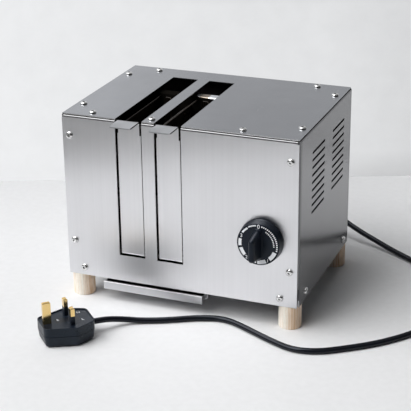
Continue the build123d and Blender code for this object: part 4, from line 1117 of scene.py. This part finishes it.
    def world(self) -> None:
        """Surrounds the scene with soft grey, pale where the camera sees it."""
        world = bpy.data.worlds.new("room")
        world.use_nodes = True
        world.node_tree.nodes.clear()
        bpy.context.scene.world = world
        tree = Tree(world.node_tree)
        way = tree.add("TexCoord").outputs["Generated"]
        leftward = tree.dot(way, self.window_way)
        height = tree.along(way, "Z")
        rays = tree.add("LightPath").outputs
        level = tree.times(rays["Is Glossy Ray"], tree.span(height, *self.ceiling))
        for sideways, upright in (self.sky_above, self.sky_below):
            glow = tree.times(tree.span(leftward, *sideways), tree.span(height, *upright))
            level = tree.most(level, glow)
        room = tree.add("Background", {"Color": level, "Strength": 1.0}).outputs[0]
        shown = tree.add("Background", {"Color": self.world_colour, "Strength": 1.0}).outputs[0]
        both = tree.add("MixShader", {0: rays["Is Camera Ray"], 1: room, 2: shown}).outputs[0]
        tree.add("OutputWorld", {"Surface": both})


# ---- Casing ----


class Facing(Enum):
    """The way a screw head faces, as its turn from facing up."""

    UP = (0.0, 0.0)
    FRONT = (90.0, 0.0)
    REAR = (-90.0, 0.0)
    LEFT = (0.0, -90.0)
    RIGHT = (0.0, 90.0)


@dataclass
class ButtonScrews:
    """The domed socket screws that hold the panels."""

    sides: int = 36
    sharp_angle: float = 28.0
    head_radius: float = 0.0038
    head_height: float = 0.0022
    rim_share: float = 0.2
    crown_share: float = 0.42
    crown_end: float = 0.48
    dome_angles: tuple[float, ...] = (20.0, 34.0, 48.0, 62.0, 76.0)
    shank_radius: float = 0.0019
    shank_length: float = 0.0052
    socket_flats: float = 0.0025
    socket_depth: float = 0.0013
    first_turn: float = 11.0
    next_turn: float = 37.0
    half_width: float = 0.125
    front: float = -0.07435
    back: float = 0.10465
    top: float = 0.1995
    top_row: tuple[Spot, ...] = ((-0.0948, -0.06315), (-0.0308, -0.06315), (0.064, -0.06315))
    top_pairs: tuple[Spot, ...] = ((0.116, -0.04005), (0.116, 0.07035), (0.09, 0.09345))
    end_pairs: tuple[Spot, ...] = ((0.116, 0.1771), (0.116, 0.063), (0.1064, 0.0335))
    side_places: tuple[Spot, ...] = ((-0.04945, 0.0335), (0.08445, 0.0335))

    def model(self) -> Piece:
        """Turns one screw and cuts the hexagon in its dome.

        Returns:
            The screw, its head standing on the plane z = 0.
        """
        rim, high, shank = self.head_radius, self.head_height, self.shank_radius
        low, crown = self.rim_share, self.crown_share
        steps = [(shank, -self.shank_length), (shank, 0.0), (rim, 0.0), (rim, low * high)]
        for degrees in self.dome_angles:
            angle = math.radians(degrees)
            wide = crown + (1.0 - crown) * math.cos(angle)
            steps.append((rim * wide, high * (low + (1.0 - low) * math.sin(angle))))
        steps.append((rim * self.crown_end, high))
        screw = turned("button_screw", steps, self.sides)
        put_down()
        bpy.ops.mesh.primitive_cylinder_add(
            vertices=6,
            radius=self.socket_flats / 2 / math.cos(math.pi / 6),
            depth=2 * self.socket_depth,
            location=(0.0, 0.0, high),
        )
        return smoothed(cut(screw, new_piece("socket_tool")), self.sharp_angle)

    def _row(self, name: str, master: Piece, places: list[Point], facings: list[Facing]) -> Piece:
        """Copies the screw to each place and joins the copies.

        Args:
            name: the joined piece's name.
            master: the screw.
            places: where each head stands.
            facings: the way each head faces.

        Returns:
            The joined screws.
        """
        screws = []
        for number, (place, facing) in enumerate(zip(places, facings)):
            screw = copied(master, f"{name}_{number}")
            tilt, lean = facing.value
            screw.rotation_euler = (math.radians(tilt), math.radians(lean), 0.0)
            turn = math.radians(self.first_turn + self.next_turn * number)
            screw.data.transform(Matrix.Rotation(turn, 4, "Z"))
            screw.location = place
            settle(screw)
            screws.append(screw)
        return joined(screws, name)

    def build(self) -> None:
        """Models the screws and fits them to the casing."""
        master = self.model()
        tops = [*self.top_row, *((side * x, y) for x, y in self.top_pairs for side in (-1.0, 1.0))]
        ends = [(side * x, z) for x, z in self.end_pairs for side in (-1.0, 1.0)]
        sides = [(side * self.half_width, y, z) for y, z in self.side_places for side in (-1.0, 1.0)]
        rows = {
            "top": ([(x, y, self.top) for x, y in tops], [Facing.UP] * len(tops)),
            "front": ([(x, self.front, z) for x, z in ends], [Facing.FRONT] * len(ends)),
            "rear": ([(x, self.back, z) for x, z in ends], [Facing.REAR] * len(ends)),
            "side": (sides, [Facing.LEFT, Facing.RIGHT] * len(self.side_places)),
        }
        for side, (places, facings) in rows.items():
            screws = self._row(f"{side}_button_screws", master, places, facings)
            fit(screws, "screw_steel", "casing", f"{side}_screws")
        bpy.data.objects.remove(master)


@dataclass
class DowelFeet:
    """Four short lengths of dowel with eased ends."""

    sides: int = 56
    sharp_angle: float = 40.0
    radius: float = 0.0115
    height: float = 0.025
    ease: float = 0.0008
    ease_start: float = 0.3
    half_width: float = 0.1135
    front: float = -0.06285
    rear: float = 0.09315

    def build(self) -> None:
        """Turns one foot and sets a copy under each corner."""
        ease, wide, high = self.ease, self.radius, self.height
        slight = self.ease_start * ease
        steps = [(wide - ease, 0.0), (wide - slight, slight), (wide, ease)]
        steps += [(wide, high - ease / 2), (wide - ease / 2, high)]
        master = smoothed(turned("dowel_foot", steps, self.sides), self.sharp_angle)
        for end, y in (("front", self.front), ("rear", self.rear)):
            for side, x in (("left", -self.half_width), ("right", self.half_width)):
                foot = copied(master, f"{end}_{side}_dowel")
                foot.location = (x, y, 0.0)
                settle(foot)
                fit(foot, "beech", "casing", f"{end}_{side}_foot")
        bpy.data.objects.remove(master)


# ---- Timer ----


@dataclass
class TimerKnob:
    """The black timer knob: a hollow skirt, the fin the fingers hold and the printed dial.

    The dial's radii and heights are in millimetres, and its angles in degrees clockwise
    from the top.
    """

    sides: int = 96
    fin_sides: int = 36
    dot_sides: int = 24
    sharp_angle: float = 30.0
    axis_x: float = 0.0874
    axis_z: float = 0.093
    back: float = -0.07535
    skirt_radius: float = 0.0228
    face_radius: float = 0.0217
    depth: float = 0.0105
    wall: float = 0.0022
    hub_radius: float = 0.0065
    hub_end: float = 0.0006
    rim_ease: float = 0.0003
    groove_depth: float = 0.00025
    groove_slope: float = 0.0002
    groove_width: float = 0.0003
    groove_heights: Spot = (0.0024, 0.0046)
    shoulder: float = 0.001
    shoulder_angles: tuple[float, ...] = (0.0, 22.5, 45.0, 67.5, 90.0)
    fin_flare: tuple[Four, ...] = (
        (0.0342, 0.0096, -0.0004, 0.0),
        (0.034, 0.0094, 0.0, 0.0),
        (0.0324, 0.0081, 0.0005, 0.0),
    )
    fin_start: float = 0.0014
    fin_length: float = 0.032
    fin_width: float = 0.0076
    fin_taper: Point = (0.0095, 0.0018, 0.0005)
    fin_taper_height: float = 0.0215
    fin_sink: float = 0.0005
    fin_height: float = 0.021
    fin_round: float = 0.0028
    fin_round_angles: tuple[float, ...] = (15.0, 30.0, 45.0, 60.0, 75.0, 90.0)
    ink_rise: float = 0.00006
    bands: tuple[Four, ...] = (
        (19.1, 20.4, 330.0, 354.3), (18.2, 20.1, 304.3, 326.2), (16.9, 20.0, 260.0, 283.0),
        (16.4, 19.9, 227.4, 253.4), (16.2, 20.2, 153.8, 181.8), (16.0, 20.0, 109.4, 139.4),
    )
    band_step: float = 3.0
    tick_rows: tuple[Four, ...] = ((18.7, 20.1, 12.0, 102.0), (15.6, 16.8, 30.0, 90.0))
    tick_every: float = 6.0
    tick_half: float = 1.8
    digits: tuple[tuple[str, float, float, float], ...] = (
        ("0", 18.9, 1.6, 4.0),
        ("3", 18.5, 293.6, 3.6),
        ("2", 18.6, 219.0, 3.4),
        ("1", 18.4, 147.0, 3.4),
    )
    dot_radius: float = 0.8
    dot_place: Spot = (18.9, 187.5)

    def place(self, piece: Piece) -> Piece:
        """Moves a piece from the knob's own frame, its face up, to the front of the casing.

        Args:
            piece: the piece.

        Returns:
            The same piece.
        """
        piece.rotation_euler = (math.pi / 2, 0.0, 0.0)
        piece.location = (self.axis_x, self.back, self.axis_z)
        settle(piece)
        return piece

    def skirt(self) -> Piece:
        """Turns the hollow skirt with its hub, side grooves and eased shoulder.

        Returns:
            The skirt, in the knob's own frame.
        """
        outer, face, ease, groove = self.skirt_radius, self.face_radius, self.rim_ease, self.groove_depth
        roof = self.depth - self.wall
        steps = [(self.hub_radius, self.hub_end), (self.hub_radius, roof), (face - self.wall, roof)]
        steps += [(outer - self.wall, 0.0), (outer - ease, 0.0), (outer, ease)]
        for high in self.groove_heights:
            rim = outer + (face - outer) * high / self.depth
            floor, low = rim - groove, high + self.groove_slope
            up = low + self.groove_width
            steps += [(rim, high), (floor, low), (floor, up), (rim, up + self.groove_slope)]
        for degrees in self.shoulder_angles:
            angle = math.radians(degrees)
            rim = face - self.shoulder * (1.0 - math.cos(angle))
            steps.append((rim, self.depth - self.shoulder * (1.0 - math.sin(angle))))
        return turned("timer_knob", steps, self.sides)

    def fin(self) -> Piece:
        """Raises the tapered fin, flared where it leaves the face and rounded at its tip.

        Returns:
            The fin, in the knob's own frame.
        """
        rings = list(self.fin_flare)
        shorter, thinner, shift = self.fin_taper
        shoulder = self.fin_height - self.fin_round
        for rise in (self.fin_start, 0.5 * shoulder, shoulder):
            share = (rise + self.fin_sink) / self.fin_taper_height
            long, wide = self.fin_length - shorter * share, self.fin_width - thinner * share
            middle = shift * share
            rings.append((long, wide, rise, middle))
        for degrees in self.fin_round_angles:
            angle = math.radians(degrees)
            inset = 2 * self.fin_round * (1.0 - math.cos(angle))
            rings.append((long - inset, wide - inset, shoulder + self.fin_round * math.sin(angle), middle))
        rings = [(long, wide, high + self.depth, middle) for long, wide, high, middle in rings]
        return raised("knob_fin", rings, self.fin_sides)

    def at(self, radius: float, degrees: float) -> Spot:
        """Where a radius and an angle on the dial are, in metres."""
        angle = math.radians(degrees)
        return radius * math.sin(angle) / 1000.0, radius * math.cos(angle) / 1000.0

    def band(self, number: int, inner: float, outer: float, start: float, end: float) -> Piece:
        """Spins one printed block round the dial.

        Args:
            number: its number among the marks.
            inner: its inner radius.
            outer: its outer radius.
            start: the angle where it starts.
            end: the angle where it ends.

        Returns:
            The block, in the knob's own frame.
        """
        put_down()
        bpy.ops.mesh.primitive_plane_add(size=1.0)
        section = bpy.context.active_object
        section.scale = (2 * self.ink_rise, (outer - inner) / 1000.0, 1.0)
        section.rotation_euler = (0.0, math.pi / 2, 0.0)
        section.location = (0.0, (outer + inner) / 2000.0, self.depth)
        settle(section)
        section.rotation_euler = (0.0, 0.0, -math.radians(start))
        section = new_piece(f"dial_band_{number}")
        with editing(section):
            steps = max(1, round((end - start) / self.band_step))
            sweep = math.radians(end - start)
            bpy.ops.mesh.spin(steps=steps, angle=sweep, center=(0.0, 0.0, 0.0), axis=(0.0, 0.0, 1.0))
            bpy.ops.mesh.select_all(action="SELECT")
            bpy.ops.mesh.remove_doubles(threshold=SAME_PLACE)
            face_outwards()
        return section

    def dial(self) -> Piece:
        """Prints the blocks, ticks, numbers and dot and joins them.

        Returns:
            The printing, in the knob's own frame.
        """
        marks = [self.band(number, *values) for number, values in enumerate(self.bands)]
        for inner, outer, start, end in self.tick_rows:
            for number in range(round((end - start) / self.tick_every) + 1):
                angle = start + self.tick_every * number
                ends = (angle - self.tick_half, angle + self.tick_half)
                marks.append(self.band(len(marks), inner, outer, *ends))
        for text, radius, degrees, height in self.digits:
            place = (*self.at(radius, degrees), self.depth)
            marks.append(printed(f"dial_{text}", text, height / 1000.0, self.ink_rise, place))
        wide, low, high = self.dot_radius / 1000.0, self.depth - self.ink_rise, self.depth + self.ink_rise
        dot = turned("dial_dot", [(wide, low), (wide, high)], self.dot_sides)
        dot.location = (*self.at(*self.dot_place), 0.0)
        settle(dot)
        return joined([*marks, dot], "dial_marks")

    def build(self) -> None:
        """Models the knob and its dial and fits them to the knob's body."""
        knob = smoothed(cut(self.skirt(), self.fin(), "UNION"), self.sharp_angle)
        fit(self.place(knob), "knob_plastic", "knob", "knob")
        fit(self.place(self.dial()), "dial_ink", "knob", slot="knob_plastic")


# ---- Supply ----


@dataclass
class PowerCord:
    """The round rubber cord, from the strain relief round to the plug."""

    diameter: float = 0.006
    length: float = 0.735
    lying: float = 0.003
    rise: tuple[Point, ...] = (
        (0.050, 0.12515, 0.044), (0.050, 0.14215, 0.044), (0.0573, 0.15735, 0.0412),
        (0.0708, 0.16735, 0.0359), (0.0867, 0.17015, 0.0286), (0.103, 0.16565, 0.0208),
        (0.125, 0.15565, 0.0142), (0.147, 0.14715, 0.0088), (0.1685, 0.13665, 0.0048),
    )
    table_run: tuple[Spot, ...] = (
        (0.1905, 0.12455), (0.215, 0.10715), (0.238, 0.08015), (0.253, 0.04715),
        (0.256, 0.01115), (0.246, -0.02285), (0.229, -0.05035), (0.2055, -0.07685),
        (0.179, -0.09735), (0.1575, -0.11185), (0.134, -0.11685), (0.1075, -0.10635),
        (0.079, -0.09135), (0.051, -0.07835), (0.025, -0.08485), (-0.002, -0.10035),
        (-0.025, -0.11035),
    )
    plug_end: tuple[Point, ...] = (
        (-0.0405, -0.11735, 0.005), (-0.0502, -0.12805, 0.009),
        (-0.057247, -0.138728, 0.012), (-0.065079, -0.146452, 0.012),
    )
    plug_pieces: tuple[str, ...] = (
        "plug_base", "plug_cover", "fuse_carrier", "earth_pin", "line_pins", "pin_sleeves",
    )
    mark_turn: float = 44.6
    mark_height: float = 0.0033
    mark_rise: float = 0.00006
    marks: tuple[tuple[str, Point], ...] = (
        ("E", (-0.0902, -0.1681, 0.02)),
        ("N", (-0.0791, -0.1462, 0.02)),
        ("L", (-0.0681, -0.1577, 0.02)),
    )

    def terminal_marks(self) -> Piece:
        """Prints the three terminals' letters beside the plug's pins."""
        letters = [
            printed(f"terminal_{text}", text, self.mark_height, self.mark_rise, place, self.mark_turn)
            for text, place in self.marks
        ]
        return fit(joined(letters, "terminal_marks"), "dial_ink", "casing", slot="plug_plastic")

    def build(self) -> None:
        marks = self.terminal_marks()
        route = [*self.rise, *((x, y, self.lying) for x, y in self.table_run), *self.plug_end]
        curve = bpy.data.curves.new("mains_cord", "CURVE")
        curve.dimensions = "3D"
        curve.resolution_u = 10
        curve.bevel_depth = self.diameter / 2
        curve.bevel_resolution = 5
        curve.use_fill_caps = True
        spline = curve.splines.new("NURBS")
        spline.points.add(len(route) - 1)
        for point, place in zip(spline.points, route):
            point.co = (*place, 1.0)
        spline.order_u = 3
        spline.use_endpoint_u = True
        spline.use_smooth = True
        cord = bpy.data.objects.new("mains_cord", curve)
        bpy.context.scene.collection.objects.link(cord)
        fit(cord, "cord_rubber", "casing", "power_cord")


# ---- Assembly ----


def main() -> None:
    """Builds the whole scene in order."""
    logging.basicConfig(level=logging.INFO, format="%(message)s")
    Studio().build()
    PowerCord().build()
    dress_nodes()
    ButtonScrews().build()
    DowelFeet().build()
    TimerKnob().build()


if __name__ == "__main__":
    main()
